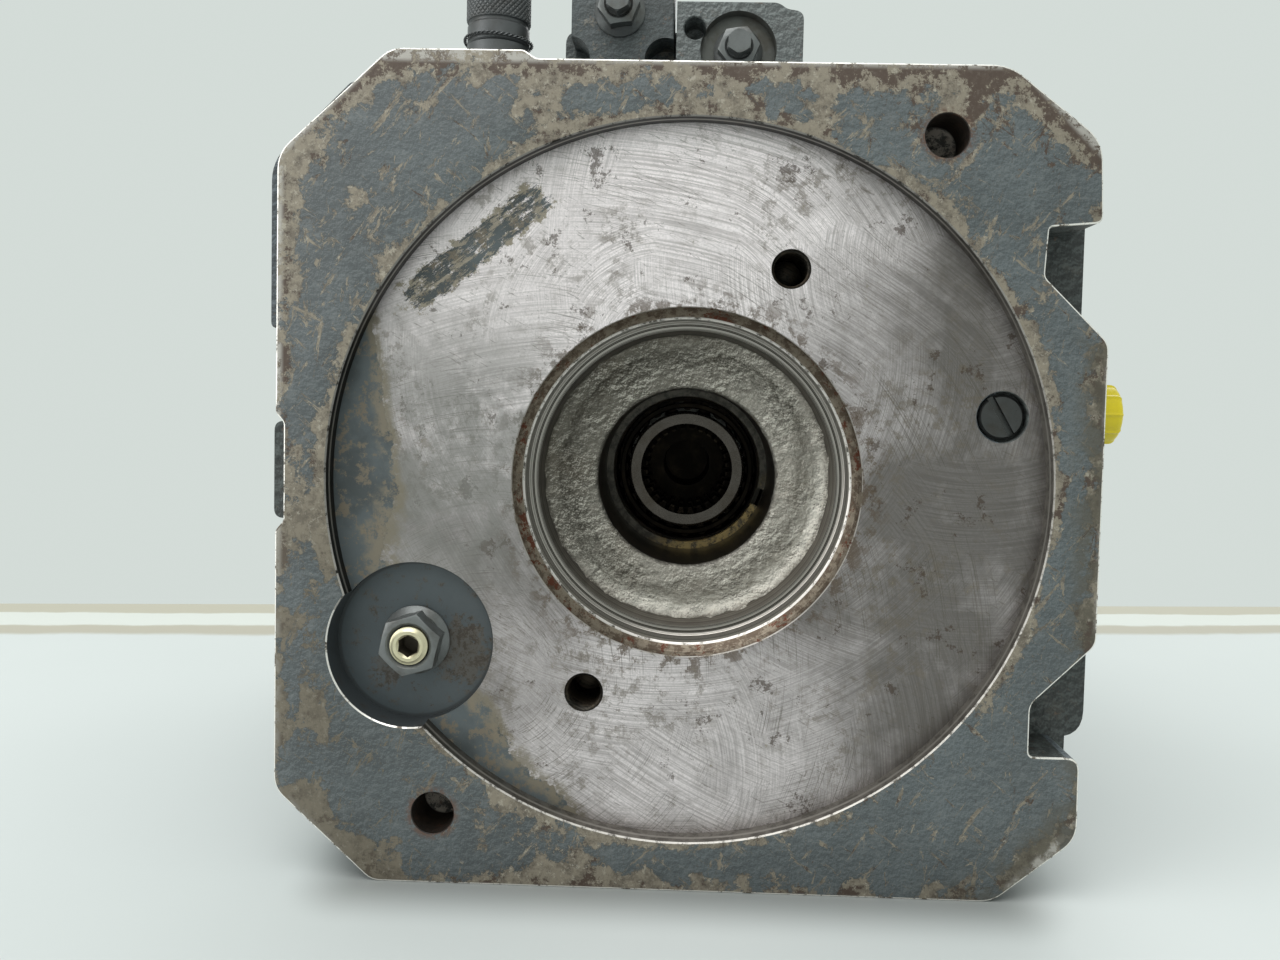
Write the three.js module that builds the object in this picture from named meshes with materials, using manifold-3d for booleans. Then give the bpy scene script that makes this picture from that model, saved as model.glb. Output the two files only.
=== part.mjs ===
// Variable axial-piston hydraulic motor, 140 cc class, with a two-bolt through-drive pad.
// Millimetres. X runs to the right, Y from the rear pad towards the drive shaft, Z up.
// Every piece is drawn about the shaft axis, with y = 0 on the rear pad's face. The finished
// group is then moved so that its box stands on z = 0 with its bottom centre on the origin.
import * as THREE from 'three';
import { mergeVertices } from 'three/addons/utils/BufferGeometryUtils.js';
import Module from 'manifold-3d';

const wasm = await Module();
wasm.setup();

// ---- driving dimensions ----------------------------------------------------------------

const GAP = 0.3; // seat clearance between pieces that touch

// Rear port housing and its two-bolt pad
const PAD = { recessR: 110, floor: 7, chamferR: 54.4, pilotR: 50.8, ledgeR: 48, floorY: 30 };
const PAD_BOLT = { circleR: 73.03, angle: 65.3, r: 5.2, end: 27 };
const HOUSING = { plate: 22, rear: 92, left: -122, right: 124.3, top: 122, bottom: -125.2, chamfer: 30 };
const BLIND_HOLES = [{ x: 74.7, z: 105.5 }, { x: -75.8, z: -103.3 }];
const BLIND_HOLE = { r: 6.5, end: 16 };
const SLOTTED_PLUG = { x: 96.1, z: 22.6, r: 6.9, stemR: 5, holeR: 5.6, face: 7.8, turn: -30 };
const PLUG_SEAT = { r: 7.75, end: 11 };
const SNAP_GROOVE = { r: 31, from: 65.5, to: 68.2 };
const BEARING_BORE_R = 29.5;
const PORT = { y: 57, z: -26, r: 12.7, across: 57.2, along: 27.8, boltR: 5.2, left: -130, right: 131.8 };
const KIDNEY = { r: 50, half: 7.5, angle: 48, bottom: 48 };
const SERVO = { x: -84.2, z: -51.8, r: 19, boreR: 19.8, pocketR: 25, pocket: 10, start: 76 };
const STOP = { r: 5.9, holeR: 6.3, head: 0.3, end: 82.4, hex: 6 };
const TOP_PAD_Z = 124;

// Main housing, with a 161.6 mm square four-bolt mounting flange
const MAIN = { start: 93.6, flange: 112, taper: 236, neck: 264, face: 290, pilotR: 76.2, pilot: 12.7 };
const MOUNT_BOLT = { half: 80.8, r: 10.5 };
const CLAMP_BOLT = { x: 99, z: 97, r: 8, holeR: 8.6, headR: 12, head: 16, end: 74 };

// Rotating group
const PISTONS = 9;
const BALL_SIDES = 11;
const BORE_CIRCLE = 50;
const MAX_TILT = 15; // degrees either way
const BALL_CIRCLE = (2 * BORE_CIRCLE) / (1 + Math.cos(THREE.MathUtils.degToRad(MAX_TILT)));
const TILT_Y = 185; // the swashplate's tilt axis and the plane of the piston balls
const BLOCK = { start: 98.3, end: 158.3, r: 70, boreR: 13.6, boreStart: 110 };
const SPRING_ROOM = { r: 30, start: 125 };
const PISTON = { r: 12, rear: -61, shoulder: -13, neckR: 6.5, ballR: 9.5 };
const SLIPPER = { r: 12.2, rear: -4, flangeR: 15.5, flange: 7.3, foot: 12.5, socketR: 10.4 };
const RETAINER = { from: 2.4, to: 6.8, r: 66, ballR: 27, holeR: 27.6, slipperHoleR: 13.2 };
const SWASH = { face: 12.8, back: 28, r: 68, runnerR: 66, holeR: 26 };
const CRADLE = { inner: 66.5, outer: 70, seatR: 70.4, from: 34, to: 61, angle: 45 };
const ARM = { ballR: 8, neckR: 5.5, slot: 17.2 };

// Shaft and its bearings
const SHAFT = { rear: 66, endR: 21.2, end: 365, coreR: 19.6, teethR: 22, midR: 24, seatR: 27.5, sealR: 25 };
const REAR_SPLINE = { teeth: 28, tipR: 15, rootR: 17.3, end: 104, boreR: 9, boreEnd: 130 };
const BLOCK_TEETH = 10;
const FRONT_SPLINE = { teeth: 13, tipR: 21.9, rootR: 18.9, from: 309 };
const FRONT_BEARING = { from: 260.3, to: 284.3, r: 50, boreR: 50.3, rollers: 10 };

// Control block on top, and the small fittings
const CONTROL = { front: 60, back: 148, left: -50, right: 38, top: 167.6, split: -7.2 };
const VALVE = { left: -45, right: -8.1, back: 84, top: 190 };
const LEFT_SCREW = { x: -27.6, z: 163.6 };
const RIGHT_SCREW = { x: 15, z: 151 };
const SPOOL = { x: -27.6, z: 146, r: 6, boreR: 6.5 };
const CAP = { x: -71, y: 60, base: 150, top: 186, r: 11.5 };
const YELLOW_CAP = { y: 35, z: 24, face: 124.6, end: 141.4, r: 10.3, flutes: 10 };
const GAUGE = { y: 19, z: 1.5, face: -126.9 };
const DRAIN = { y: 176, z: 34, face: 117 };

// ---- materials -------------------------------------------------------------------------

function finish(color, roughness, metalness) {
  return new THREE.MeshStandardMaterial({ color, roughness, metalness });
}
const PAINTED = finish(0x66717a, 0.6, 0.3);
const CAST_GREY = finish(0x5b6264, 0.75, 0.3);
const STEEL = finish(0x9b9a96, 0.35, 0.9);
const DARK_STEEL = finish(0x4a4c4d, 0.45, 0.8);
const BRONZE = finish(0xa8834a, 0.4, 0.8);
const ZINC = finish(0xc9bd7c, 0.35, 0.8);
const RUBBER = finish(0x1d1d1d, 0.8, 0);
const YELLOW = finish(0xd9bd12, 0.45, 0);
const GASKET = finish(0x3a3a34, 0.9, 0);

// ---- solids ----------------------------------------------------------------------------

// A closed geometry as a solid, with its shared vertices merged and its faces pointing out.
function toSolid(geometry) {
  const bare = new THREE.BufferGeometry();
  bare.setAttribute('position', geometry.getAttribute('position').clone());
  if (geometry.index) bare.setIndex(geometry.index.clone());
  const merged = mergeVertices(bare, 1e-4);
  const index = merged.index.array;
  const kept = [];
  for (let i = 0; i < index.length; i += 3) {
    const [a, b, c] = [index[i], index[i + 1], index[i + 2]];
    if (a !== b && b !== c && c !== a) kept.push(a, b, c);
  }
  const build = (triVerts) =>
    new wasm.Manifold(
      new wasm.Mesh({
        numProp: 3,
        vertProperties: new Float32Array(merged.attributes.position.array),
        triVerts: new Uint32Array(triVerts),
      }),
    );
  const solid = build(kept);
  if (solid.volume() > 0) return solid;
  return build(kept.reverse());
}

function toGeometry(solid) {
  const { vertProperties, triVerts, numProp } = solid.getMesh();
  const geometry = new THREE.BufferGeometry();
  const positions = new Float32Array((vertProperties.length / numProp) * 3);
  for (let i = 0; i < positions.length / 3; i += 1) {
    positions.set(vertProperties.subarray(i * numProp, i * numProp + 3), i * 3);
  }
  geometry.setAttribute('position', new THREE.BufferAttribute(positions, 3));
  geometry.setIndex(new THREE.BufferAttribute(new Uint32Array(triVerts), 1));
  geometry.computeVertexNormals();
  return geometry;
}

const joined = (...solids) => solids.reduce((all, one) => all.add(one));
const cut = (solid, ...tools) => tools.reduce((left, tool) => left.subtract(tool), solid);

// A straight cylinder along Y from y0 to y1, on the line (x, z).
function rod(r, y0, y1, x = 0, z = 0, sides = 20) {
  const geometry = new THREE.CylinderGeometry(r, r, y1 - y0, sides);
  return toSolid(geometry.translate(x, (y0 + y1) / 2, z));
}

// The same along X from x0 to x1, on the line (y, z).
function crossRod(r, x0, x1, y, z, sides = 20) {
  const geometry = new THREE.CylinderGeometry(r, r, x1 - x0, sides).rotateZ(Math.PI / 2);
  return toSolid(geometry.translate((x0 + x1) / 2, y, z));
}

// The same along Z from z0 to z1, on the line (x, y).
function post(r, z0, z1, x, y, sides = 16) {
  const geometry = new THREE.CylinderGeometry(r, r, z1 - z0, sides).rotateX(Math.PI / 2);
  return toSolid(geometry.translate(x, y, (z0 + z1) / 2));
}

function block(x0, x1, y0, y1, z0, z1) {
  const geometry = new THREE.BoxGeometry(x1 - x0, y1 - y0, z1 - z0);
  return toSolid(geometry.translate((x0 + x1) / 2, (y0 + y1) / 2, (z0 + z1) / 2));
}

// A body of revolution about Y. The profile is a list of [radius, y].
function turned(profile, sides = 20) {
  return toSolid(new THREE.LatheGeometry(profile.map(([r, y]) => new THREE.Vector2(r, y)), sides));
}

// A ring about Y, closed on itself.
function ring(inner, outer, y0, y1, sides = 20) {
  return turned([[inner, y0], [outer, y0], [outer, y1], [inner, y1], [inner, y0]], sides);
}

// An outline in X and Z, drawn out along Y from y0 to y1.
function drawn(points, y0, y1) {
  const shape = new THREE.Shape(points.map(([x, z]) => new THREE.Vector2(x, z)));
  const geometry = new THREE.ExtrudeGeometry(shape, { depth: y1 - y0, bevelEnabled: false });
  return toSolid(geometry.rotateX(Math.PI / 2).translate(0, y1, 0));
}

// Corners given as [x, z, radius] become short arcs of three points.
function rounded(corners) {
  const points = [];
  corners.forEach(([x, z, radius = 0], i) => {
    if (!radius) {
      points.push([x, z]);
      return;
    }
    const corner = new THREE.Vector2(x, z);
    const ends = [-1, 1].map((step) => {
      const [nx, nz] = corners[(i + step + corners.length) % corners.length];
      const edge = new THREE.Vector2(nx, nz).sub(corner);
      return corner.clone().addScaledVector(edge.normalize(), radius);
    });
    const curve = new THREE.QuadraticBezierCurve(ends[0], corner, ends[1]);
    curve.getPoints(2).forEach((p) => points.push([p.x, p.y]));
  });
  return points;
}

// A square with round corners, as a ring of points that always has the same count.
function roundedSquare(half, radius, steps = 5) {
  const points = [];
  const inset = half - radius;
  for (let quarter = 0; quarter < 4; quarter += 1) {
    for (let step = 0; step <= steps; step += 1) {
      const angle = (quarter + step / steps) * (Math.PI / 2);
      const [sx, sz] = [[1, 1], [-1, 1], [-1, -1], [1, -1]][quarter];
      points.push([sx * inset + radius * Math.cos(angle), sz * inset + radius * Math.sin(angle)]);
    }
  }
  return points;
}

// A closed skin through sections [{ y, points }] that have the same number of points.
function loft(sections) {
  const count = sections[0].points.length;
  const positions = sections.flatMap(({ y, points }) => points.flatMap(([x, z]) => [x, y, z]));
  const index = [];
  for (let s = 0; s < sections.length - 1; s += 1) {
    for (let i = 0; i < count; i += 1) {
      const a = s * count + i;
      const b = s * count + ((i + 1) % count);
      index.push(a, b, a + count, b, b + count, a + count);
    }
  }
  const last = (sections.length - 1) * count;
  const capOf = (points) =>
    THREE.ShapeUtils.triangulateShape(points.map(([x, z]) => new THREE.Vector2(x, z)), []);
  capOf(sections[0].points).forEach(([a, b, c]) => index.push(a, c, b));
  capOf(sections.at(-1).points).forEach(([a, b, c]) => index.push(last + a, last + b, last + c));
  const geometry = new THREE.BufferGeometry();
  geometry.setAttribute('position', new THREE.Float32BufferAttribute(positions, 3));
  geometry.setIndex(index);
  return toSolid(geometry);
}

// A toothed outline: the teeth stand from rootR to tipR, and are half a pitch wide.
function toothed(teeth, rootR, tipR) {
  const points = [];
  const pitch = (2 * Math.PI) / teeth;
  for (let tooth = 0; tooth < teeth; tooth += 1) {
    [[-0.3, rootR], [-0.16, tipR], [0.16, tipR], [0.3, rootR]].forEach(([part, r]) => {
      const angle = (tooth + part) * pitch;
      points.push([r * Math.cos(angle), r * Math.sin(angle)]);
    });
  }
  return points;
}

// A band of a ring about Y, centred on an angle in degrees from +X, used for kidney ports.
function kidney(r, half, angle, centre, y0, y1, steps = 8) {
  const arc = (radius, from, to) =>
    Array.from({ length: steps + 1 }, (_, i) => {
      const at = THREE.MathUtils.degToRad(centre + from + ((to - from) * i) / steps);
      return [radius * Math.cos(at), radius * Math.sin(at)];
    });
  return drawn([...arc(r + half, -angle, angle), ...arc(r - half, angle, -angle)], y0, y1);
}

// A hexagon prism along Y, measured across its flats.
function hex(flats, y0, y1, x = 0, z = 0, turn = 0) {
  const geometry = new THREE.CylinderGeometry(flats / Math.sqrt(3), flats / Math.sqrt(3), y1 - y0, 6);
  return toSolid(geometry.rotateY(turn).translate(x, (y0 + y1) / 2, z));
}

// ---- the motor -------------------------------------------------------------------------

const motor = new THREE.Group();

function addPiece(name, solid, material) {
  const mesh = new THREE.Mesh(toGeometry(solid), material);
  mesh.name = name;
  motor.add(mesh);
  return mesh;
}

const around = (count, r) =>
  Array.from({ length: count }, (_, i) => {
    const angle = (i / count) * 2 * Math.PI;
    return { angle, x: r * Math.cos(angle), z: r * Math.sin(angle) };
  });
const BOLT_CORNERS = [[1, 1], [-1, 1], [-1, -1], [1, -1]];
const clampHoles = (r, y0, y1) =>
  BOLT_CORNERS.map(([sx, sz]) => rod(r, y0, y1, sx * CLAMP_BOLT.x, sz * CLAMP_BOLT.z, 10));

// The flat plate seen from behind: chamfered corners, a raised left top and two bolt notches.
function rearPlate() {
  return drawn(
    rounded([
      [-125.3, 97.2, 3], [-91.4, 128.8, 3], [-51.4, 128.8], [-47.6, 126.3], [92.2, 126.3, 3],
      [120.2, 104.6, 3], [121.3, 80.6, 3], [105.6, 79.2, 3], [104.8, 64.5, 3], [124.4, 45.3, 4],
      [124.4, -45.3, 4], [105.4, -64, 3], [105.5, -79.9, 3], [120.8, -79.9, 3], [121, -105, 3],
      [96.2, HOUSING.bottom, 3], [-94.8, HOUSING.bottom, 3], [-125.4, -97, 3], [-125.4, -17],
      [-122.9, -14], [-122.9, 16], [-125.4, 19],
    ]),
    0,
    HOUSING.plate,
  );
}

// The casting's cross-section behind the plate: a rectangle with chamfered corners.
function castOutline() {
  const { left, right, top, bottom, chamfer } = HOUSING;
  return rounded([
    [left, bottom + chamfer, 6], [left, top - chamfer, 6], [left + chamfer, top, 6],
    [right - chamfer, top, 6], [right, top - chamfer, 6], [right, bottom + chamfer, 6],
    [right - chamfer, bottom, 6], [left + chamfer, bottom, 6],
  ]);
}

// Bosses on the rear casting: port pads, gauge port, side lug, cap port and control seat.
function rearBosses() {
  const { z, left, right } = PORT;
  const lug = [[-129.4, 45, 2], [-129.4, 96, 6], [-104, 121.5, 3], [-100, 117], [-100, 45]];
  return [
    block(HOUSING.right - 20, right, 25, 89, -82, 12.6),
    block(left, HOUSING.left + 20, 26, 88, z - 41, z + 41),
    drawn(rounded(lug), 6, 62),
    block(GAUGE.face, HOUSING.left + 20, GAUGE.y - 16, GAUGE.y + 17, GAUGE.z - 15, GAUGE.z + 15),
    block(CONTROL.left - 5, CONTROL.right + 7, 56, HOUSING.rear, 100, TOP_PAD_Z),
    post(17, 100, TOP_PAD_Z, CAP.x, CAP.y, 20),
  ];
}

// The through-drive opening: seal chamfer, pilot, ledge, cast ring and bearing bore.
function throughBore() {
  const { floor, chamferR, pilotR, ledgeR, floorY } = PAD;
  return turned(
    [
      [0, floor - 1], [chamferR + 0.9, floor - 1], [chamferR, floor], [pilotR + 0.6, 11],
      [pilotR, 12], [pilotR, 20], [ledgeR, 20.4], [ledgeR, 26], [ledgeR - 3, floorY],
      [BEARING_BORE_R, floorY], [BEARING_BORE_R, SNAP_GROOVE.from], [SNAP_GROOVE.r, SNAP_GROOVE.from],
      [SNAP_GROOVE.r, SNAP_GROOVE.to], [BEARING_BORE_R, SNAP_GROOVE.to], [BEARING_BORE_R, 90.5],
      [25, 90.5], [25, HOUSING.rear + 1], [0, HOUSING.rear + 1],
    ],
    28,
  );
}

function portCuts(side) {
  const { x0, x1 } = side > 0 ? { x0: 40, x1: 140 } : { x0: -140, x1: -40 };
  const cuts = [crossRod(PORT.r, x0, x1, PORT.y, PORT.z, 16)];
  const face = side > 0 ? PORT.right : PORT.left;
  const deep = face - side * 24;
  const out = face + side * 5;
  for (const dy of [-1, 1]) {
    for (const dz of [-1, 1]) {
      const at = [PORT.y + (dy * PORT.along) / 2, PORT.z + (dz * PORT.across) / 2];
      cuts.push(crossRod(PORT.boltR, Math.min(deep, out), Math.max(deep, out), ...at, 6));
    }
  }
  cuts.push(kidney(KIDNEY.r, KIDNEY.half, KIDNEY.angle, side > 0 ? 0 : 180, KIDNEY.bottom, 93, 6));
  return cuts;
}

function rearPortHousing() {
  const body = drawn(castOutline(), HOUSING.plate - 1, HOUSING.rear);
  const casting = joined(rearPlate(), body, ...rearBosses());
  const padBolts = [PAD_BOLT.angle, PAD_BOLT.angle + 180].map((degrees) => {
    const angle = THREE.MathUtils.degToRad(degrees);
    const at = [PAD_BOLT.circleR * Math.cos(angle), PAD_BOLT.circleR * Math.sin(angle)];
    return rod(PAD_BOLT.r, PAD.floor - 1, PAD_BOLT.end, ...at, 10);
  });
  const solid = cut(
    casting,
    rod(PAD.recessR, -1, PAD.floor, 0, 0, 40),
    rod(SERVO.pocketR, -1, SERVO.pocket, SERVO.x, SERVO.z, 24),
    throughBore(),
    ...padBolts,
    ...BLIND_HOLES.map(({ x, z }) => rod(BLIND_HOLE.r, -1, BLIND_HOLE.end, x, z, 12)),
    rod(PLUG_SEAT.r, PAD.floor - 1, PLUG_SEAT.end, SLOTTED_PLUG.x, SLOTTED_PLUG.z, 16),
    rod(SLOTTED_PLUG.holeR, PLUG_SEAT.end - 1, 22, SLOTTED_PLUG.x, SLOTTED_PLUG.z, 8),
    rod(STOP.holeR, SERVO.pocket - 1, SERVO.start + 1, SERVO.x, SERVO.z, 12),
    rod(SERVO.boreR, SERVO.start, HOUSING.rear + 1, SERVO.x, SERVO.z, 20),
    ...portCuts(1),
    ...portCuts(-1),
    ...clampHoles(CLAMP_BOLT.r + 0.4, CLAMP_BOLT.end - 2, HOUSING.rear + 1),
    crossRod(9.2, YELLOW_CAP.face - 18, YELLOW_CAP.face + 1, YELLOW_CAP.y, YELLOW_CAP.z, 12),
    crossRod(9.2, GAUGE.face - 1, GAUGE.face + 18, GAUGE.y, GAUGE.z, 12),
    post(8.5, TOP_PAD_Z - 14, TOP_PAD_Z + 1, CAP.x, CAP.y, 12),
  );
  addPiece('rear_port_housing', solid, PAINTED);
}

function housingGasket() {
  const sheet = drawn(castOutline(), HOUSING.rear + GAP, MAIN.start - GAP);
  const solid = cut(
    sheet,
    rod(75, 90, 96, 0, 0, 28),
    rod(SERVO.boreR + 0.8, 90, 96, SERVO.x, SERVO.z, 16),
    ...clampHoles(CLAMP_BOLT.holeR + 0.3, 90, 96),
  );
  addPiece('housing_gasket', solid, GASKET);
}

// The room inside the main housing, with the two cradle seats left standing in it.
function mainCavity() {
  const widths = [-1, 1].map((side) => {
    const ends = [side * (CRADLE.from - 2), side * (CRADLE.to + 2)];
    return [Math.min(...ends), Math.max(...ends)];
  });
  const seats = widths.map(([x0, x1]) => block(x0, x1, TILT_Y + 20, 247, -66, 66));
  const drums = widths.map(([x0, x1]) => crossRod(CRADLE.seatR, x0, x1, TILT_Y, 0, 40));
  const room = joined(
    rod(75, MAIN.start - 1, 168, 0, 0, 28),
    rod(84, 166, 246, 0, 0, 28),
    block(-72, -48, 160, 231, -69.5, -33),
  );
  return joined(cut(room, ...seats), ...drums);
}

function mainHousing() {
  const shell = loft([
    { y: MAIN.flange - 1, points: roundedSquare(110, 75, 4) },
    { y: MAIN.taper - 20, points: roundedSquare(107, 76, 4) },
    { y: MAIN.taper, points: roundedSquare(104, 78, 4) },
    { y: MAIN.neck + 1, points: roundedSquare(92, 88, 4) },
  ]);
  const casting = joined(
    drawn(castOutline(), MAIN.start, MAIN.flange),
    shell,
    drawn(roundedSquare(103, 28, 3), MAIN.neck, MAIN.face),
    rod(MAIN.pilotR, MAIN.face - 1, MAIN.face + MAIN.pilot, 0, 0, 30),
    rod(29, MAIN.flange - 1, 230, SERVO.x, SERVO.z, 20),
    block(CONTROL.left - 5, CONTROL.right + 7, MAIN.start, CONTROL.back + 6, 90, TOP_PAD_Z),
    block(-74, -40, MAIN.start, 222, HOUSING.bottom, -80),
    block(40, 74, MAIN.start, 222, HOUSING.bottom, -80),
    crossRod(18, 90, DRAIN.face, DRAIN.y, DRAIN.z, 16),
  );
  const bearingBore = turned(
    [
      [0, 245], [FRONT_BEARING.boreR, 245], [FRONT_BEARING.boreR, FRONT_BEARING.to + GAP],
      [40, FRONT_BEARING.to + GAP], [40, 288.5], [36, 288.5], [36, 298], [37.4, 298],
      [37.4, 300.6], [36, 300.6], [36, 304], [0, 304],
    ],
    20,
  );
  const mountHoles = BOLT_CORNERS.map(([sx, sz]) =>
    rod(MOUNT_BOLT.r, MAIN.neck - 12, MAIN.face + 1, sx * MOUNT_BOLT.half, sz * MOUNT_BOLT.half, 12));
  const spotFaces = BOLT_CORNERS.map(([sx, sz]) =>
    rod(18, MAIN.neck - 30, MAIN.neck, sx * MOUNT_BOLT.half, sz * MOUNT_BOLT.half, 12));
  const solid = cut(
    casting,
    mainCavity(),
    bearingBore,
    rod(SERVO.boreR, MAIN.start - 1, 170, SERVO.x, SERVO.z, 20),
    rod(21.5, 160, 222, SERVO.x, SERVO.z, 20),
    ...mountHoles,
    ...spotFaces,
    ...clampHoles(CLAMP_BOLT.holeR, MAIN.start - 1, MAIN.flange + 1),
    crossRod(11, 80, DRAIN.face + 1, DRAIN.y, DRAIN.z, 10),
  );
  addPiece('main_housing', solid, PAINTED);
}

function clampBolts() {
  BOLT_CORNERS.forEach(([sx, sz], i) => {
    const at = [sx * CLAMP_BOLT.x, sz * CLAMP_BOLT.z];
    const top = MAIN.flange + GAP + CLAMP_BOLT.head;
    const bolt = joined(
      rod(CLAMP_BOLT.r, CLAMP_BOLT.end, MAIN.flange + GAP + 1, ...at, 10),
      rod(CLAMP_BOLT.headR, MAIN.flange + GAP, top, ...at, 14),
    );
    addPiece(`housing_bolt_${i + 1}`, cut(bolt, hex(14, top - 8, top + 1, ...at)), DARK_STEEL);
  });
}

function valvePlate() {
  const plate = ring(27, 66, HOUSING.rear + GAP, BLOCK.start - GAP, 28);
  const slots = [0, 180].map((centre) => kidney(BORE_CIRCLE, 5.5, 62, centre, 90, 100, 7));
  addPiece('valve_plate', cut(plate, ...slots), BRONZE);
}

// The short spline between shaft and cylinder block, grown by a clearance for the hole.
const blockSpline = (extra) => toothed(BLOCK_TEETH, SHAFT.coreR + extra, SHAFT.teethR + extra);

function cylinderBlock() {
  const body = rod(BLOCK.r, BLOCK.start, BLOCK.end, 0, 0, 36);
  const holes = around(PISTONS, BORE_CIRCLE).flatMap(({ x, z }) => [
    rod(BLOCK.boreR, BLOCK.boreStart, BLOCK.end + 1, x, z, 14),
    rod(6, BLOCK.start - 1, BLOCK.boreStart + 1, x, z, 6),
  ]);
  const solid = cut(
    body,
    ...holes,
    rod(SPRING_ROOM.r, SPRING_ROOM.start, BLOCK.end + 1, 0, 0, 18),
    drawn(blockSpline(0.5), BLOCK.start - 1, SPRING_ROOM.start + 1),
  );
  addPiece('cylinder_block', solid, STEEL);
}

function ballArc(r, fromDegrees, toDegrees, steps) {
  return Array.from({ length: steps + 1 }, (_, i) => {
    const at = THREE.MathUtils.degToRad(fromDegrees + ((toDegrees - fromDegrees) * i) / steps);
    return [r * Math.cos(at), r * Math.sin(at)];
  });
}

// Piston and slipper share the centre of the ball, which lies in the tilt plane.
function pistonsAndSlippers() {
  const { r, rear, shoulder, neckR, ballR } = PISTON;
  const neckAngle = -THREE.MathUtils.radToDeg(Math.acos(neckR / ballR));
  const piston = turned(
    [
      [0, rear], [r, rear], [r, shoulder], [neckR, shoulder + 2],
      ...ballArc(ballR, neckAngle, 90, 4).slice(0, -1), [0, ballR],
    ],
    BALL_SIDES,
  );
  const mouth = -THREE.MathUtils.radToDeg(Math.asin(-SLIPPER.rear / SLIPPER.socketR));
  const slipper = turned(
    [
      [0, SLIPPER.foot], [SLIPPER.flangeR, SLIPPER.foot], [SLIPPER.flangeR, SLIPPER.flange],
      [SLIPPER.r, SLIPPER.flange], [SLIPPER.r, SLIPPER.rear],
      ...ballArc(SLIPPER.socketR, mouth, 90, 4).slice(0, -1), [0, SLIPPER.socketR],
    ],
    BALL_SIDES,
  );
  around(PISTONS, BALL_CIRCLE).forEach(({ x, z }, i) => {
    addPiece(`piston_${i + 1}`, piston.translate([x, TILT_Y, z]), STEEL);
    addPiece(`slipper_${i + 1}`, slipper.translate([x, TILT_Y, z]), BRONZE);
  });
}

function slipperRetainer() {
  const plate = ring(RETAINER.holeR, RETAINER.r, TILT_Y + RETAINER.from, TILT_Y + RETAINER.to, 24);
  const holes = around(PISTONS, BALL_CIRCLE).map(({ x, z }) =>
    rod(RETAINER.slipperHoleR, TILT_Y, TILT_Y + 10, x, z, 10));
  addPiece('slipper_retainer', cut(plate, ...holes), DARK_STEEL);
}

function retainerBall() {
  const end = THREE.MathUtils.radToDeg(Math.asin(1 / 3));
  const arc = ballArc(RETAINER.ballR, -end, end, 2).map(([r, y]) => [r, y + TILT_Y]);
  const inner = SHAFT.teethR + 0.5;
  const start = [inner, arc[0][1]];
  addPiece('retainer_ball', turned([start, ...arc, [inner, arc.at(-1)[1]], start]), STEEL);
}

// The coil spring that presses the block on the valve plate and the retainer on the slippers.
function blockSpring() {
  const [wire, radius, turns, stepsPerTurn] = [2, 26, 4, 9];
  const y0 = SPRING_ROOM.start + GAP + wire;
  const y1 = TILT_Y - 9 - GAP - wire;
  const points = Array.from({ length: turns * stepsPerTurn + 1 }, (_, i) => {
    const part = i / (turns * stepsPerTurn);
    const angle = part * turns * 2 * Math.PI;
    return new THREE.Vector3(radius * Math.cos(angle), y0 + (y1 - y0) * part, radius * Math.sin(angle));
  });
  const section = new THREE.Shape(
    Array.from({ length: 5 }, (_, i) =>
      new THREE.Vector2(wire, 0).rotateAround(new THREE.Vector2(), (i * Math.PI) / 2.5)),
  );
  const geometry = new THREE.ExtrudeGeometry(section, {
    steps: turns * stepsPerTurn,
    extrudePath: new THREE.CatmullRomCurve3(points),
    bevelEnabled: false,
  });
  addPiece('block_spring', toSolid(geometry), DARK_STEEL);
}

// Tilting plate: running face, two half-round runners, shaft opening and the servo arm.
function swashplate() {
  const [front, back] = [TILT_Y + SWASH.face, TILT_Y + SWASH.back];
  const runners = [-1, 1].map((side) => {
    const [x0, x1] = side > 0 ? [CRADLE.from + 1, CRADLE.to - 1] : [1 - CRADLE.to, -CRADLE.from - 1];
    const drum = crossRod(SWASH.runnerR, x0, x1, TILT_Y, 0, 40);
    return drum.intersect(block(x0 - 1, x1 + 1, back - 4, 260, -80, 80));
  });
  const arm = joined(
    block(-64, -35, front + 1.4, back, -62, -30),
    block(-64, -50, TILT_Y - 6, back - 2, -62, -47),
    crossRod(ARM.neckR, SERVO.x, -60, TILT_Y, SERVO.z, 10),
    toSolid(new THREE.SphereGeometry(ARM.ballR, 10, 6).translate(SERVO.x, TILT_Y, SERVO.z)),
  );
  const shaftRoom = [-15.5, -5, 5, 15.5].map((degrees) => {
    const tool = new THREE.CylinderGeometry(SWASH.holeR, SWASH.holeR, 240, 20);
    return toSolid(tool.rotateX(THREE.MathUtils.degToRad(degrees)).translate(0, TILT_Y, 0));
  });
  const plate = joined(rod(SWASH.r, front, back, 0, 0, 32), ...runners, arm);
  addPiece('swashplate', cut(plate, ...shaftRoom), STEEL);
}

// Half-round bearing shells between the runners and their seats.
function cradleBearings() {
  [[-1, 'cradle_bearing_left'], [1, 'cradle_bearing_right']].forEach(([side, name]) => {
    const [x0, x1] = side > 0 ? [CRADLE.from, CRADLE.to] : [-CRADLE.to, -CRADLE.from];
    const shell = cut(
      crossRod(CRADLE.outer, x0, x1, TILT_Y, 0, 40),
      crossRod(CRADLE.inner, x0 - 1, x1 + 1, TILT_Y, 0, 40),
    );
    const reach = CRADLE.outer * Math.cos(THREE.MathUtils.degToRad(CRADLE.angle));
    addPiece(name, shell.intersect(block(x0 - 1, x1 + 1, TILT_Y + reach, 260, -90, 90)), BRONZE);
  });
}

function servoPiston() {
  const body = rod(SERVO.r, 97, 205, SERVO.x, SERVO.z, 20);
  const slot = block(SERVO.x - 9, -50, TILT_Y - ARM.slot / 2, TILT_Y + ARM.slot / 2, -80, -25);
  addPiece('servo_piston', cut(body, slot), STEEL);
}

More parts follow.
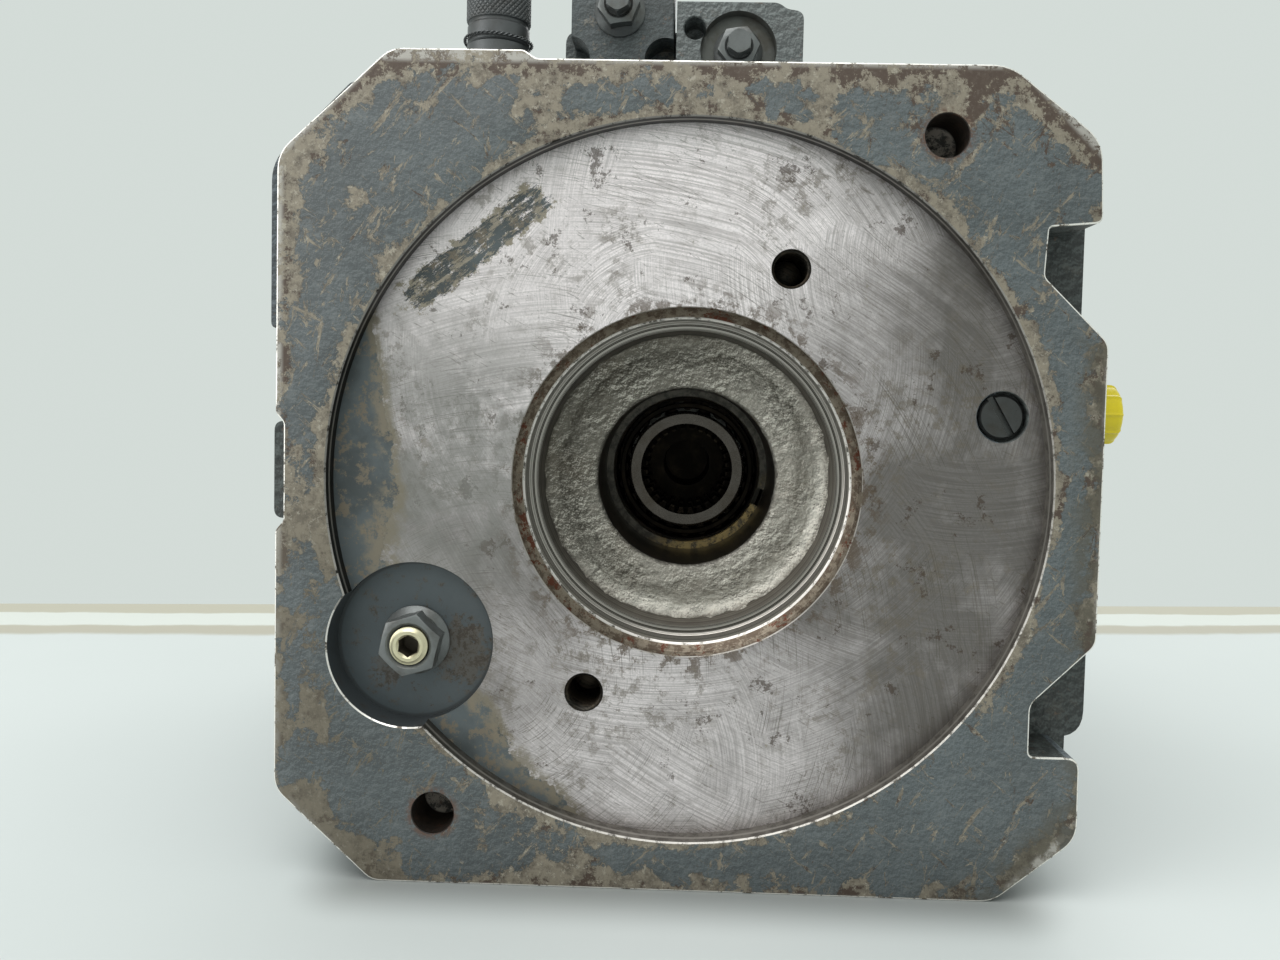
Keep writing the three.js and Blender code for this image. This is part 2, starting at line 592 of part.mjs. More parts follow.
function driveShaft() {
  const core = turned([
    [0, SHAFT.rear], [SHAFT.endR, SHAFT.rear], [SHAFT.endR, 96], [SHAFT.coreR, 96],
    [SHAFT.coreR, 176], [SHAFT.teethR, 176], [SHAFT.teethR, 196], [SHAFT.midR, 196],
    [SHAFT.midR, 248], [31, 250], [31, 260], [SHAFT.seatR, 260], [SHAFT.seatR, 287],
    [SHAFT.sealR, 287], [SHAFT.sealR, 304], [FRONT_SPLINE.rootR - 0.6, 304],
    [FRONT_SPLINE.rootR - 0.6, SHAFT.end], [0, SHAFT.end],
  ]);
  const frontTeeth = drawn(
    toothed(FRONT_SPLINE.teeth, FRONT_SPLINE.rootR, FRONT_SPLINE.tipR),
    FRONT_SPLINE.from,
    SHAFT.end - 2.5,
  );
  const blockTeeth = drawn(blockSpline(0), 99, 125);
  const solid = cut(
    joined(core, frontTeeth, blockTeeth),
    drawn(toothed(REAR_SPLINE.teeth, REAR_SPLINE.tipR, REAR_SPLINE.rootR), SHAFT.rear - 1, REAR_SPLINE.end),
    rod(REAR_SPLINE.boreR, REAR_SPLINE.end - 1, REAR_SPLINE.boreEnd, 0, 0, 14),
  );
  addPiece('drive_shaft', solid, STEEL);
}

// Tapered front bearing: cone, cup, and a cage that carries its rollers.
function frontBearing() {
  const { from, to, r, rollers } = FRONT_BEARING;
  const cone = turned([[27.8, from], [36.5, from], [34.2, to], [27.8, to], [27.8, from]]);
  addPiece('front_bearing_cone', cone, STEEL);
  const cup = turned([[46.4, from], [r, from], [r, to], [43.9, to], [46.4, from]]);
  addPiece('front_bearing_cup', cup, STEEL);
  const cage = turned([[40.2, 261.6], [42.6, 261.6], [40.4, 283], [38, 283], [40.2, 261.6]], 20);
  const bars = around(rollers, 1).map(({ angle }) => {
    const bar = new THREE.CylinderGeometry(4.1, 4.4, 19, 6);
    bar.rotateZ(THREE.MathUtils.degToRad(6)).translate(40.3, 272.3, 0).rotateY(-angle);
    return toSolid(bar);
  });
  addPiece('front_bearing_rollers', joined(cage, ...bars), STEEL);
}

function rearBearing() {
  addPiece('rear_bearing_ring', ring(26.2, 29.0, 68.6, 90.1, 28), STEEL);
  const needles = around(10, 23.65).map(({ x, z }) => rod(1.9, 71, 88, x, z, 5));
  addPiece('rear_bearing_needles', joined(ring(22.6, 24.7, 69.4, 89.4, 20), ...needles), STEEL);
  const snap = ring(24.6, 30.6, 65.8, 67.9, 28);
  const gapAt = new THREE.BoxGeometry(16, 6, 8).translate(28, 67, 0).rotateY(THREE.MathUtils.degToRad(20));
  addPiece('rear_snap_ring', cut(snap, toSolid(gapAt)), DARK_STEEL);
}

function shaftSeal() {
  const profile = [
    [25.5, 292], [30, 289], [35.6, 289], [35.6, 297.6], [31, 297.6], [26.5, 294.5], [25.5, 292],
  ];
  addPiece('shaft_seal', turned(profile), RUBBER);
  const snap = ring(32.4, 36.9, 298.3, 300.3, 20);
  addPiece('seal_snap_ring', cut(snap, block(30, 40, 296, 303, -5, 5)), DARK_STEEL);
}

function stopScrew() {
  const screw = rod(STOP.r, STOP.head, STOP.end, SERVO.x, SERVO.z, 16);
  addPiece('stop_screw', cut(screw, hex(STOP.hex, -1, 7.5, SERVO.x, SERVO.z)), ZINC);
  const nut = joined(
    rod(11, 7.6, SERVO.pocket - GAP, SERVO.x, SERVO.z, 24),
    hex(19, 1, 8, SERVO.x, SERVO.z, THREE.MathUtils.degToRad(20)),
  );
  addPiece('stop_screw_nut', cut(nut, rod(STOP.holeR, 0, 11, SERVO.x, SERVO.z, 16)), DARK_STEEL);
}

function slottedPlug() {
  const { x, z, r, stemR, face, turn } = SLOTTED_PLUG;
  const seat = PLUG_SEAT.end;
  const body = joined(rod(r, face, seat - GAP, x, z, 20), rod(stemR, seat - 1, 20, x, z, 12));
  const slot = new THREE.BoxGeometry(2, 4, 20)
    .rotateY(THREE.MathUtils.degToRad(turn))
    .translate(x, face - 0.6, z);
  addPiece('slotted_plug', cut(body, toSolid(slot)), DARK_STEEL);
}

function controlHousing() {
  const { front, back, left, right, top, split } = CONTROL;
  const bottom = TOP_PAD_Z + GAP;
  const rightHalf = drawn(
    rounded([[split, bottom], [right, bottom], [right, top - 2, 3], [right - 6, top], [split, top]]),
    front,
    back,
  );
  const leftHalf = drawn(
    rounded([[left, bottom], [split + 1, bottom], [split + 1, top - 2], [left, top - 2, 4]]),
    VALVE.back + GAP,
    back,
  );
  const solid = cut(
    joined(rightHalf, leftHalf),
    rod(13.25, front - 1, front + 4, RIGHT_SCREW.x, RIGHT_SCREW.z, 20),
    rod(4.3, front, front + 30, RIGHT_SCREW.x, RIGHT_SCREW.z, 12),
    rod(4, front - 1, front + 12, -0.6, 158.3, 12),
    rod(SPOOL.boreR, VALVE.back, 140, SPOOL.x, SPOOL.z, 16),
  );
  addPiece('control_housing', solid, CAST_GREY);
}

function valveBody() {
  const { left, right, back, top } = VALVE;
  const bottom = TOP_PAD_Z + GAP;
  const outline = rounded([[left, bottom], [right, bottom], [right, top, 4], [left, top, 4]]);
  const body = drawn(outline, CONTROL.front, back);
  const solid = cut(
    body,
    rod(7.5, CONTROL.front - 1, CONTROL.front + 14, left - 0.6, 147.5, 20),
    rod(7.5, CONTROL.front - 1, CONTROL.front + 14, right - 2.9, 147.3, 20),
    rod(4.3, CONTROL.front - 1, back - 4, LEFT_SCREW.x, LEFT_SCREW.z, 12),
  );
  addPiece('valve_body', solid, CAST_GREY);
}

// A hex-ended adjusting screw and its flanged lock nut, on the line (x, z), seated at y = seat.
function adjuster(name, { x, z }, seat, flangeR) {
  const screw = joined(rod(3.9, seat - 9, seat + 18, x, z, 12), hex(8, seat - 13, seat - 8, x, z));
  addPiece(`${name}_adjusting_screw`, screw, DARK_STEEL);
  const nut = joined(
    rod(flangeR, seat - GAP - 2, seat - GAP, x, z, 20),
    hex(13, seat - GAP - 7.5, seat - GAP - 1, x, z),
  );
  addPiece(`${name}_lock_nut`, cut(nut, rod(4.3, seat - 12, seat + 2, x, z, 12)), DARK_STEEL);
}

function controlSpool() {
  const stem = rod(3.4, 92, 132, SPOOL.x, SPOOL.z, 8);
  const lands = [92, 108, 124].map((y) => rod(SPOOL.r, y, y + 8, SPOOL.x, SPOOL.z, 10));
  addPiece('control_spool', joined(stem, ...lands), STEEL);
}

// Knurled protective cap on its threaded fitting, with the seal wire round the cap's skirt.
function knurledCap() {
  const { x, y, base, top, r } = CAP;
  const flats = new THREE.CylinderGeometry(13, 13, 11, 6).rotateX(Math.PI / 2);
  const fitting = joined(
    post(8, TOP_PAD_Z - 12, base + 12, x, y, 16),
    toSolid(flats.translate(x, y, TOP_PAD_Z + GAP + 5.5)),
  );
  addPiece('cap_fitting', fitting, STEEL);
  const profile = [
    [0, base + 16], [8.9, base + 16], [8.9, base], [r - 0.8, base], [r - 0.8, base + 5],
    [r, base + 6.5], [r, top - 1.5], [r - 1.5, top], [0, top],
  ];
  const cap = new THREE.LatheGeometry(profile.map(([a, b]) => new THREE.Vector2(a, b)), 20);
  addPiece('knurled_cap', toSolid(cap.rotateX(Math.PI / 2).translate(x, y, 0)), DARK_STEEL);
  const wire = new THREE.TorusGeometry(12, 0.7, 5, 18).translate(x, y, base + 1.6);
  addPiece('seal_wire', toSolid(wire), DARK_STEEL);
}

// Fluted plastic cap in the side port, drawn along Y and then turned to point along +X.
function yellowCap() {
  const { y, z, face, end, r, flutes } = YELLOW_CAP;
  const outline = (scale) => toothed(flutes, (r - 0.9) * scale, r * scale);
  const length = end - face;
  const cap = joined(
    loft([{ y: 0, points: outline(1) }, { y: length - 5, points: outline(1) },
      { y: length - 1.5, points: outline(0.86) }, { y: length, points: outline(0.66) }]),
    rod(8.6, -11, 1, 0, 0, 16),
  );
  const geometry = toGeometry(cap).rotateZ(-Math.PI / 2).translate(face, y, z);
  addPiece('yellow_port_cap', toSolid(geometry), YELLOW);
}

function plugs() {
  const gauge = crossRod(8.6, GAUGE.face + 0.6, GAUGE.face + 14, GAUGE.y, GAUGE.z, 16);
  const key = new THREE.CylinderGeometry(4.6, 4.6, 12, 6)
    .rotateZ(Math.PI / 2)
    .translate(GAUGE.face + 1, GAUGE.y, GAUGE.z);
  addPiece('gauge_port_plug', cut(gauge, toSolid(key)), DARK_STEEL);
  const head = new THREE.CylinderGeometry(15, 15, 6, 6).rotateZ(Math.PI / 2);
  const drain = joined(
    toSolid(head.translate(DRAIN.face + GAP + 3, DRAIN.y, DRAIN.z)),
    crossRod(10.4, DRAIN.face - 14, DRAIN.face + 2, DRAIN.y, DRAIN.z, 16),
  );
  addPiece('drain_port_plug', drain, DARK_STEEL);
}

rearPortHousing();
housingGasket();
mainHousing();
clampBolts();
valvePlate();
cylinderBlock();
pistonsAndSlippers();
slipperRetainer();
retainerBall();
blockSpring();
swashplate();
cradleBearings();
servoPiston();
driveShaft();
frontBearing();
rearBearing();
shaftSeal();
stopScrew();
slottedPlug();
controlHousing();
valveBody();
adjuster('left', LEFT_SCREW, CONTROL.front, 9);
adjuster('right', RIGHT_SCREW, CONTROL.front + 4, 8.8);
controlSpool();
knurledCap();
yellowCap();
plugs();

// Stand the motor on z = 0, with the bottom centre of its box on the origin.
const box = new THREE.Box3().setFromObject(motor);
const centre = box.getCenter(new THREE.Vector3());
motor.position.set(-centre.x, -centre.y, -box.min.z);

export default motor;
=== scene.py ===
"""Looks of the axial-piston hydraulic motor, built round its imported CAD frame.

Shapes are drawn in millimetres about the shaft axis: X right, Y from the rear pad's face towards
the drive shaft, Z up. show() turns each finished shape into metres in the row frame.
"""
from math import cos, hypot, pi, radians, sin, sqrt

import bmesh
import bpy
from mathutils import Matrix, Vector, noise


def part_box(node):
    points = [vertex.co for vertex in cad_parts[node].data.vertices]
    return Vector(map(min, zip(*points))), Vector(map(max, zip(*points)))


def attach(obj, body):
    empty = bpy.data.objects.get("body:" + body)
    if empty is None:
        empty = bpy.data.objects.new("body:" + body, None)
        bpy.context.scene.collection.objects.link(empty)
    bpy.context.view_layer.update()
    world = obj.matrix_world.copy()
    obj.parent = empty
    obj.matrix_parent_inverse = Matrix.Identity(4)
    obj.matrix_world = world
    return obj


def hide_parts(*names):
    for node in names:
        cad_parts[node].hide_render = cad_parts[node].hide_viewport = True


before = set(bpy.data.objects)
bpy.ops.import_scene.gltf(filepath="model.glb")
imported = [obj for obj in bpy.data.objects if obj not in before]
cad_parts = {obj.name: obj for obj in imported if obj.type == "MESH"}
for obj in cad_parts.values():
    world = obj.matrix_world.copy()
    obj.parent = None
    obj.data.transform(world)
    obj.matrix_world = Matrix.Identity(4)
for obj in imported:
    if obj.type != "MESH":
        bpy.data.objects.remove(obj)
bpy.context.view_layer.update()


# ---- places from the frame, in millimetres about the shaft axis ----

def middle(node):
    low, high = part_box(node)
    return (Vector(low) + Vector(high)) / 2


SHAFT_MIDDLE = middle("drive_shaft")
ORIGIN = Vector((SHAFT_MIDDLE.x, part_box("rear_port_housing")[0][1], SHAFT_MIDDLE.z))
TO_ROW = Matrix.Translation(ORIGIN) @ Matrix.Scale(0.001, 4)


def box_mm(node):
    """A CAD node's lowest and highest corners, about the shaft axis."""
    return [(Vector(corner) - ORIGIN) * 1000 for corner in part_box(node)]


def middle_mm(node):
    low, high = box_mm(node)
    return (low + high) / 2


def axis_spot(node):
    """Where a piece that runs along Y has its axis, as (x, z)."""
    spot = middle_mm(node)
    return (spot.x, spot.z)


REAR_END = box_mm("rear_port_housing")[1].y
BOTTOM = box_mm("rear_port_housing")[0].z
TOP_SEAT = box_mm("control_housing")[0].z
SERVO_SPOT = axis_spot("stop_screw")
PLUG_SPOT = axis_spot("slotted_plug")
PAD_FLOOR = 7  # how deep the recess's floor lies below the rear face
RECESS_R = 110
POCKET_R = 25
BORE_R = 29.5
PLATE = 22  # thickness of the rear plate
PLATE_X, PLATE_Z, PLATE_CORNER = 124.8, 126.3, 221.5  # its half width and height, and |x| + |z| there
PORT_Y, PORT_Z = 57, -26
PORT_LEFT, PORT_RIGHT = -130, 131.8
PORT_BOLTS = [(dy, dz) for dy in (-13.9, 13.9) for dz in (-28.6, 28.6)]
GAUGE_FACE = -126.9
CAP_FACE = 124.6
PAD_ROOT = 100  # how far from the shaft the side pads start, inside the case
BLIND_HOLES = [(74.7, 105.5), (-75.8, -103.3)]
CORNERS = [(sx, sz) for sx in (-1, 1) for sz in (-1, 1)]
CASE_BOLTS = [(sx * 99, sz * 97) for sx, sz in CORNERS]
FLANGE_BOLTS = [(sx * 80.8, sz * 80.8) for sx, sz in CORNERS]
FLANGE_Y = 290
SEAT = TOP_SEAT - 0.3  # top of the castings' pad, just under the control housing
BOLT_R, BOLT_ANGLE = 73.03, radians(65.3)  # where the recess floor's threads lie
THREAD_SPOT = (BOLT_R * cos(BOLT_ANGLE), BOLT_R * sin(BOLT_ANGLE))
BACK_EDGE, BACK_SLANT = 410, 0.118  # where the table ends behind the motor, and its slope
TABLE_HALF = 9  # in metres
LAMP_AIM = (0, 0, 0.13)  # in metres
COS_45 = 0.707
WALL, WALL_LIGHT = (0.84, 0.914, 0.876, 1), 0.78


# ---- meshes ----

def add_to_scene(obj):
    bpy.context.scene.collection.objects.link(obj)


def mesh_object(name, points, faces):
    mesh = bpy.data.meshes.new(name)
    mesh.from_pydata(points, [], faces)
    work = bmesh.new()
    work.from_mesh(mesh)
    bmesh.ops.remove_doubles(work, verts=work.verts, dist=1e-05)
    bmesh.ops.recalc_face_normals(work, faces=work.faces)
    work.to_mesh(mesh)
    work.free()
    obj = bpy.data.objects.new(name, mesh)
    add_to_scene(obj)
    return obj


def turned(profile, sides=96, spot=(0, 0)):
    """A closed body of revolution about a line along Y through spot = (x, z)."""
    points, faces, rings = [], [], []
    for radius, y in profile:
        if len(rings) == len(profile) - 1 and (radius, y) == profile[0]:
            rings.append(rings[0])
            continue
        if radius < 1e-06:
            rings.append([len(points)] * sides)
            points.append((spot[0], y, spot[1]))
            continue
        rings.append(list(range(len(points), len(points) + sides)))
        for i in range(sides):
            angle = 2 * pi * i / sides
            points.append((spot[0] + radius * sin(angle), y, spot[1] + radius * cos(angle)))
    for low, high in zip(rings, rings[1:]):
        for i in range(sides):
            j = (i + 1) % sides
            corners = list(dict.fromkeys((low[i], low[j], high[j], high[i])))
            if len(corners) > 2:
                faces.append(corners)
    return mesh_object("turned", points, faces)


def rod(profile, sides=96, spot=(0, 0)):
    """A turned body that is closed to the axis at both ends of its profile."""
    return turned([(0, profile[0][1]), *profile, (0, profile[-1][1])], sides, spot)


def ring(inner, outer, y0, y1, chamfer=0.0, sides=96, spot=(0, 0)):
    c = chamfer
    profile = [(inner, y0 + c), (inner + c, y0), (outer - c, y0), (outer, y0 + c), (outer, y1 - c),
               (outer - c, y1), (inner + c, y1), (inner, y1 - c), (inner, y0 + c)]
    return turned(profile, sides, spot)


def hole(r, y0, y1, spot=(0, 0), chamfer=0.0, tip=0.0, sides=48):
    """A cutter for a hole that opens at y0 towards -Y, with a chamfered mouth and a drill tip."""
    profile = [(0, y0 - 2), (r + chamfer + 2 * bool(chamfer), y0 - 2)]
    if chamfer:
        profile += [(r + chamfer, y0), (r, y0 + chamfer)]
    profile += [(r, y1), (0, y1 + tip)]
    return turned(profile, sides, spot)


def drawn(outline, y0, y1):
    """An outline of (x, z) points, drawn out along Y."""
    count = len(outline)
    points = [(x, y0, z) for x, z in outline] + [(x, y1, z) for x, z in outline]
    faces = [list(range(count)), list(range(2 * count - 1, count - 1, -1))]
    faces += [[i, (i + 1) % count, count + (i + 1) % count, count + i] for i in range(count)]
    return mesh_object("drawn", points, faces)


def block(x0, x1, y0, y1, z0, z1):
    return drawn([(x0, z0), (x1, z0), (x1, z1), (x0, z1)], y0, y1)


def loft(sections):
    """A closed skin through sections (y, outline) that have the same number of points."""
    count = len(sections[0][1])
    points = [(x, y, z) for y, outline in sections for x, z in outline]
    faces = [list(range(count)), list(range(len(points) - 1, len(points) - count - 1, -1))]
    for s in range(len(sections) - 1):
        for i in range(count):
            j = (i + 1) % count
            faces.append([s * count + i, s * count + j, (s + 1) * count + j, (s + 1) * count + i])
    return mesh_object("loft", points, faces)


def turn_to(obj, axis, spot=(0, 0, 0)):
    """Turns a shape drawn along +Y about the origin so that +Y points along axis, then moves it."""
    rotation = Vector((0, 1, 0)).rotation_difference(Vector(axis)).to_matrix().to_4x4()
    obj.data.transform(Matrix.Translation(Vector(spot)) @ rotation)
    return obj


def drilled(r, depth, axis, mouth, **kind):
    """A cutter for a hole that runs along axis from its mouth."""
    return turn_to(hole(r, 0, depth, **kind), axis, mouth)


def rounded(corners, steps=6):
    """Corners (x, z, radius) with each radius as an arc."""
    points = []
    for i, corner in enumerate(corners):
        x, z = corner[:2]
        radius = corner[2] if len(corner) > 2 else 0
        if not radius:
            points.append((x, z))
            continue
        here = Vector((x, z))
        ends = []
        for step in (-1, 1):
            other = corners[(i + step) % len(corners)]
            ends.append(here + (Vector(other[:2]) - here).normalized() * radius)
        for k in range(steps + 1):
            t = k / steps
            spot = ends[0] * (1 - t) ** 2 + here * (2 * t * (1 - t)) + ends[1] * t ** 2
            points.append((spot.x, spot.y))
    return points


def rounded_square(half, radius, steps=12):
    points = []
    inset = half - radius
    for quarter, (sx, sz) in enumerate([(1, 1), (-1, 1), (-1, -1), (1, -1)]):
        for step in range(steps + 1):
            angle = (quarter + step / steps) * pi / 2
            points.append((sx * inset + radius * cos(angle), sz * inset + radius * sin(angle)))
    return points


def polygon(r, sides, turn=0.0, spot=(0, 0)):
    return [(spot[0] + r * cos(turn + 2 * pi * i / sides),
             spot[1] + r * sin(turn + 2 * pi * i / sides)) for i in range(sides)]


def toothed(teeth, root, tip, foot=0.3, crown=0.16, spot=(0, 0)):
    points = []
    for tooth in range(teeth):
        for part, r in ((-foot, root), (-crown, tip), (0, tip), (crown, tip), (foot, root)):
            angle = (tooth + part) * 2 * pi / teeth
            points.append((spot[0] + r * cos(angle), spot[1] + r * sin(angle)))
    return points


def settle(obj):
    """Applies an object's modifiers to its mesh."""
    shown = obj.evaluated_get(bpy.context.evaluated_depsgraph_get())
    mesh = bpy.data.meshes.new_from_object(shown)
    obj.modifiers.clear()
    obj.data = mesh
    return obj


def combine(obj, tools, operation):
    for tool in tools:
        step = obj.modifiers.new("join", "BOOLEAN")
        step.object = tool
        step.operation = operation
        step.solver = "MANIFOLD"
    settle(obj)
    for tool in tools:
        bpy.data.objects.remove(tool)
    return obj


def cut(obj, *tools):
    return combine(obj, tools, "DIFFERENCE")


def join(obj, *tools):
    return combine(obj, tools, "UNION")


def soften(obj, width, segments=2, angle=50):
    """Rounds the edges that turn by more than angle, in degrees."""
    step = obj.modifiers.new("round", "BEVEL")
    step.width = width
    step.segments = segments
    step.limit_method = "ANGLE"
    step.angle_limit = radians(angle)
    return settle(obj)


def roughen(obj, depth, size, within=None):
    """Moves the vertices along their normals by smooth noise, as sand casting leaves them."""
    for vertex in obj.data.vertices:
        if within and not within(vertex.co):
            continue
        lift = noise.noise(vertex.co / size) + 0.5 * noise.noise(vertex.co * 2.3 / size)
        vertex.co += vertex.normal * (lift * depth)
    return obj


# ---- materials ----

class Value:
    """A number or colour that a look works out at each spot of its surface."""

    def __init__(self, look, socket):
        self.look, self.socket = look, socket

    def __add__(self, other):
        return self.look.math("ADD", self, other)

    def __sub__(self, other):
        return self.look.math("SUBTRACT", self, other)

    def __rsub__(self, other):
        return self.look.math("SUBTRACT", other, self)

    def __mul__(self, other):
        return self.look.math("MULTIPLY", self, other)

    def __abs__(self):
        return self.look.math("ABSOLUTE", self)

    def ease(self, low, high):
        """0 below low and 1 above high, with a smooth step between. low may lie above high."""
        span = {"From Min": min(low, high), "From Max": max(low, high)}
        ends = {"To Min": float(low > high), "To Max": float(low < high)}
        return self.look.node("MapRange", {"Value": self, **span, **ends}, interpolation_type="SMOOTHSTEP")


def highest(a, b):
    return a.look.math("MAXIMUM", a, b)


def lowest(a, b):
    return a.look.math("MINIMUM", a, b)


class Look:
    """A node material, with its coordinates in millimetres about the shaft axis."""

    def __init__(self, name, roughness=0.5, metallic=0.0):
        self.material = bpy.data.materials.new(name)
        self.material.use_nodes = True
        self.tree = self.material.node_tree
        self.shader = self.tree.nodes["Principled BSDF"]
        self.shader.inputs["Roughness"].default_value = roughness
        self.shader.inputs["Metallic"].default_value = metallic
        place = self.node("TexCoord", output="Object")
        from_shaft = self.node("VectorMath", {0: place, 1: tuple(ORIGIN)}, operation="SUBTRACT")
        self.spot = self.node("VectorMath", {0: from_shaft, "Scale": 1000}, operation="SCALE")
        split = self.node("SeparateXYZ", {0: self.spot}).socket.node
        self.x, self.y, self.z = [Value(self, output) for output in split.outputs]

    def feed(self, socket, value):
        if isinstance(value, Value):
            self.tree.links.new(value.socket, socket)
        elif isinstance(value, tuple):
            socket.default_value = (*value, 1.0)[:len(socket.default_value)]
        elif value is not None:
            socket.default_value = value

    def node(self, kind, inputs=None, output=0, **settings):
        """What a new shader node gives, with its inputs by place or name."""
        node = self.tree.nodes.new("ShaderNode" + kind)
        for name, value in settings.items():
            setattr(node, name, value)
        for key, value in (inputs or {}).items():
            self.feed(node.inputs[key], value)
        return Value(self, node.outputs[output])

    def math(self, operation, a, b=None, clamp=False):
        return self.node("Math", {0: a, 1: b}, operation=operation, use_clamp=clamp)

    def noise(self, size, detail=3.0, rough=0.55, spot=None, distortion=0.0):
        """Noise from 0 to 1 with features about size millimetres across."""
        place = {"Vector": self.spot if spot is None else spot, "Scale": 1.0 / size}
        kind = {"Detail": detail, "Roughness": rough, "Distortion": distortion}
        return self.node("TexNoise", {**place, **kind})

    def combine(self, x, y, z=0.0):
        return self.node("CombineXYZ", {0: x, 1: y, 2: z})

    def mix(self, factor, a, b):
        """A colour from a to b."""
        return self.node("Mix", {0: factor, 6: a, 7: b}, output=2, data_type="RGBA")

    def coats(self, colour, *coats):
        """A colour under coats, each a mask and the tint that shows where the mask is one."""
        for mask, tint in coats:
            colour = self.mix(mask, colour, tint)
        return colour

    def blend(self, factor, a, b):
        """A number from a to b."""
        return self.node("Mix", {0: factor, 2: a, 3: b})

    def finish(self, colour, roughness=None, metallic=None, height=None, depth=0.3, strength=0.6):
        """height runs from 0 to 1 and stands for depth millimetres of relief."""
        self.feed(self.shader.inputs["Base Color"], colour)
        self.feed(self.shader.inputs["Roughness"], roughness)
        self.feed(self.shader.inputs["Metallic"], metallic)
        if height is not None:
            bump = self.node("Bump", {"Strength": strength, "Distance": depth / 1000, "Height": height})
            self.feed(self.shader.inputs["Normal"], bump)
        return self.material


PAINT = (0.106, 0.124, 0.131)
PAINT_DARK = (0.06, 0.069, 0.072)
PRIMER = (0.24, 0.208, 0.16)
RUST = (0.06, 0.036, 0.026)
RUST_LIGHT = (0.17, 0.095, 0.055)


def radius_at(look, x=0, z=0):
    """Distance from a line along Y, the shaft's own unless it is given."""
    dx, dz = look.x - x, look.z - z
    return look.math("SQRT", dx * dx + dz * dz)


def grime(look, colour, size=30, amount=0.35, tint=(0.05, 0.045, 0.04)):
    """Soft dark stains over a colour."""
    stain = look.noise(size, 6, 0.65).ease(0.45, 0.75)
    return look.mix(stain * amount, colour, tint)


def swing(look, size, detail, rough, gain, **extra):
    """Noise about zero with the given gain."""
    return (look.noise(size, detail, rough, **extra) - 0.5) * gain


def slanted(look, angle, long, wide):
    """A spot for noise whose patches are long at angle (degrees from X) and wide across it."""
    c, s = cos(radians(angle)), sin(radians(angle))
    along = look.x * c + look.z * s
    beside = look.z * c - look.x * s
    return look.combine(along * (1 / long), beside * (1 / wide))


def relief(look, size, detail, rough, step):
    """Cast skin as raking light from above shows it: one noise less the same noise a step higher."""
    here = look.noise(size, detail, rough, spot=look.combine(look.x, look.z, look.y))
    above = look.combine(look.x - step * 0.5, look.z + step, look.y)
    gap = here - look.noise(size, detail, rough, spot=above)
    return gap * 2.2 + 0.5


def lobe(look, x, z, near, far):
    """One within near of a spot on the rear face, falling to nothing at far."""
    return radius_at(look, x, z).ease(far, near)


def plate_edge(look):
    """Distance in from the rear plate's outline."""
    across, up = abs(look.x), abs(look.z)
    corner = (PLATE_CORNER - (across + up)) * COS_45
    return lowest(lowest(PLATE_X - across, PLATE_Z - up), corner)


# Where the face is worn more or less: the x and z at which each zone starts and is full, its gain.
WEAR_ZONES = [((-75, -30), (88, 118), 2.0), ((10, -20), (-96, -120), 1.2),
              ((-20, -80), (-10, 40), 0.35), ((10, 60), (-10, -60), -0.8)]


def face_wear(look, edge):
    """How far the paint is worn: above 1.9 it is gone."""
    rim = radius_at(look) - (RECESS_R + 0.5)
    worn = highest(edge.ease(10, -1) * 3.3, rim.ease(6, -1) * 3.1)
    for x_span, z_span, gain in WEAR_ZONES:
        worn += look.x.ease(*x_span) * look.z.ease(*z_span) * gain
    left_band = abs(look.x + 113.0).ease(6.5, 3)
    worn += left_band * look.z.ease(25, -15) * 1.7
    for x, z in BLIND_HOLES:
        worn += lobe(look, x, z, 8, 20) * 1.3
    worn -= edge.ease(6, 12) * 0.35
    worn += swing(look, 30, 4, 0.6, 12.5, distortion=0.5)
    return worn + swing(look, 9, 9, 0.78, 12.5)


def with_scratches(look, bare):
    """Adds three families of ragged scratches to the bare patches."""
    for angle, long, wide, low in ((52, 20, 5.0, 0.578), (-38, 18, 3.6, 0.592), (84, 13, 4.4, 0.594)):
        scratch = look.noise(1.0, 8, 0.78, spot=slanted(look, angle, long, wide), distortion=0.5)
        upper = look.z.ease(-110, 60) * 0.012
        bare = highest(bare, (scratch + upper).ease(low + 0.012, low + 0.017))
    return bare


def face_paint(look, grain):
    """The paint that is left, with orange peel drawn as painted highlights and painted shade, and fine pale
    scratches.
    """
    hair = look.noise(1.0, 4, 0.7, spot=slanted(look, -30, 26, 0.7)).ease(0.66, 0.69)
    side = look.noise(30, 5, 0.65).ease(0.4, 0.6) + look.x.ease(90, -110)
    paint = look.mix(side * 0.5, PAINT, PAINT_DARK)
    orange_peel = relief(look, 2.0, 5, 0.65, 0.3)
    # orange peel: painted highlight on its upper sides and painted shade on its lower sides, as from raking
    # light above
    return look.coats(paint, (grain.ease(0.42, 0.6) * 0.5, (0.055, 0.063, 0.065)),
                      (orange_peel.ease(0.52, 0.66) * 0.3, (0.2, 0.215, 0.215)),
                      (orange_peel.ease(0.46, 0.34) * 0.4, (0.035, 0.04, 0.041)),
                      (look.noise(7, 9, 0.82).ease(0.5, 0.6) * 0.35, (0.16, 0.172, 0.172)),
                      (hair * 0.4, (0.26, 0.25, 0.22)))


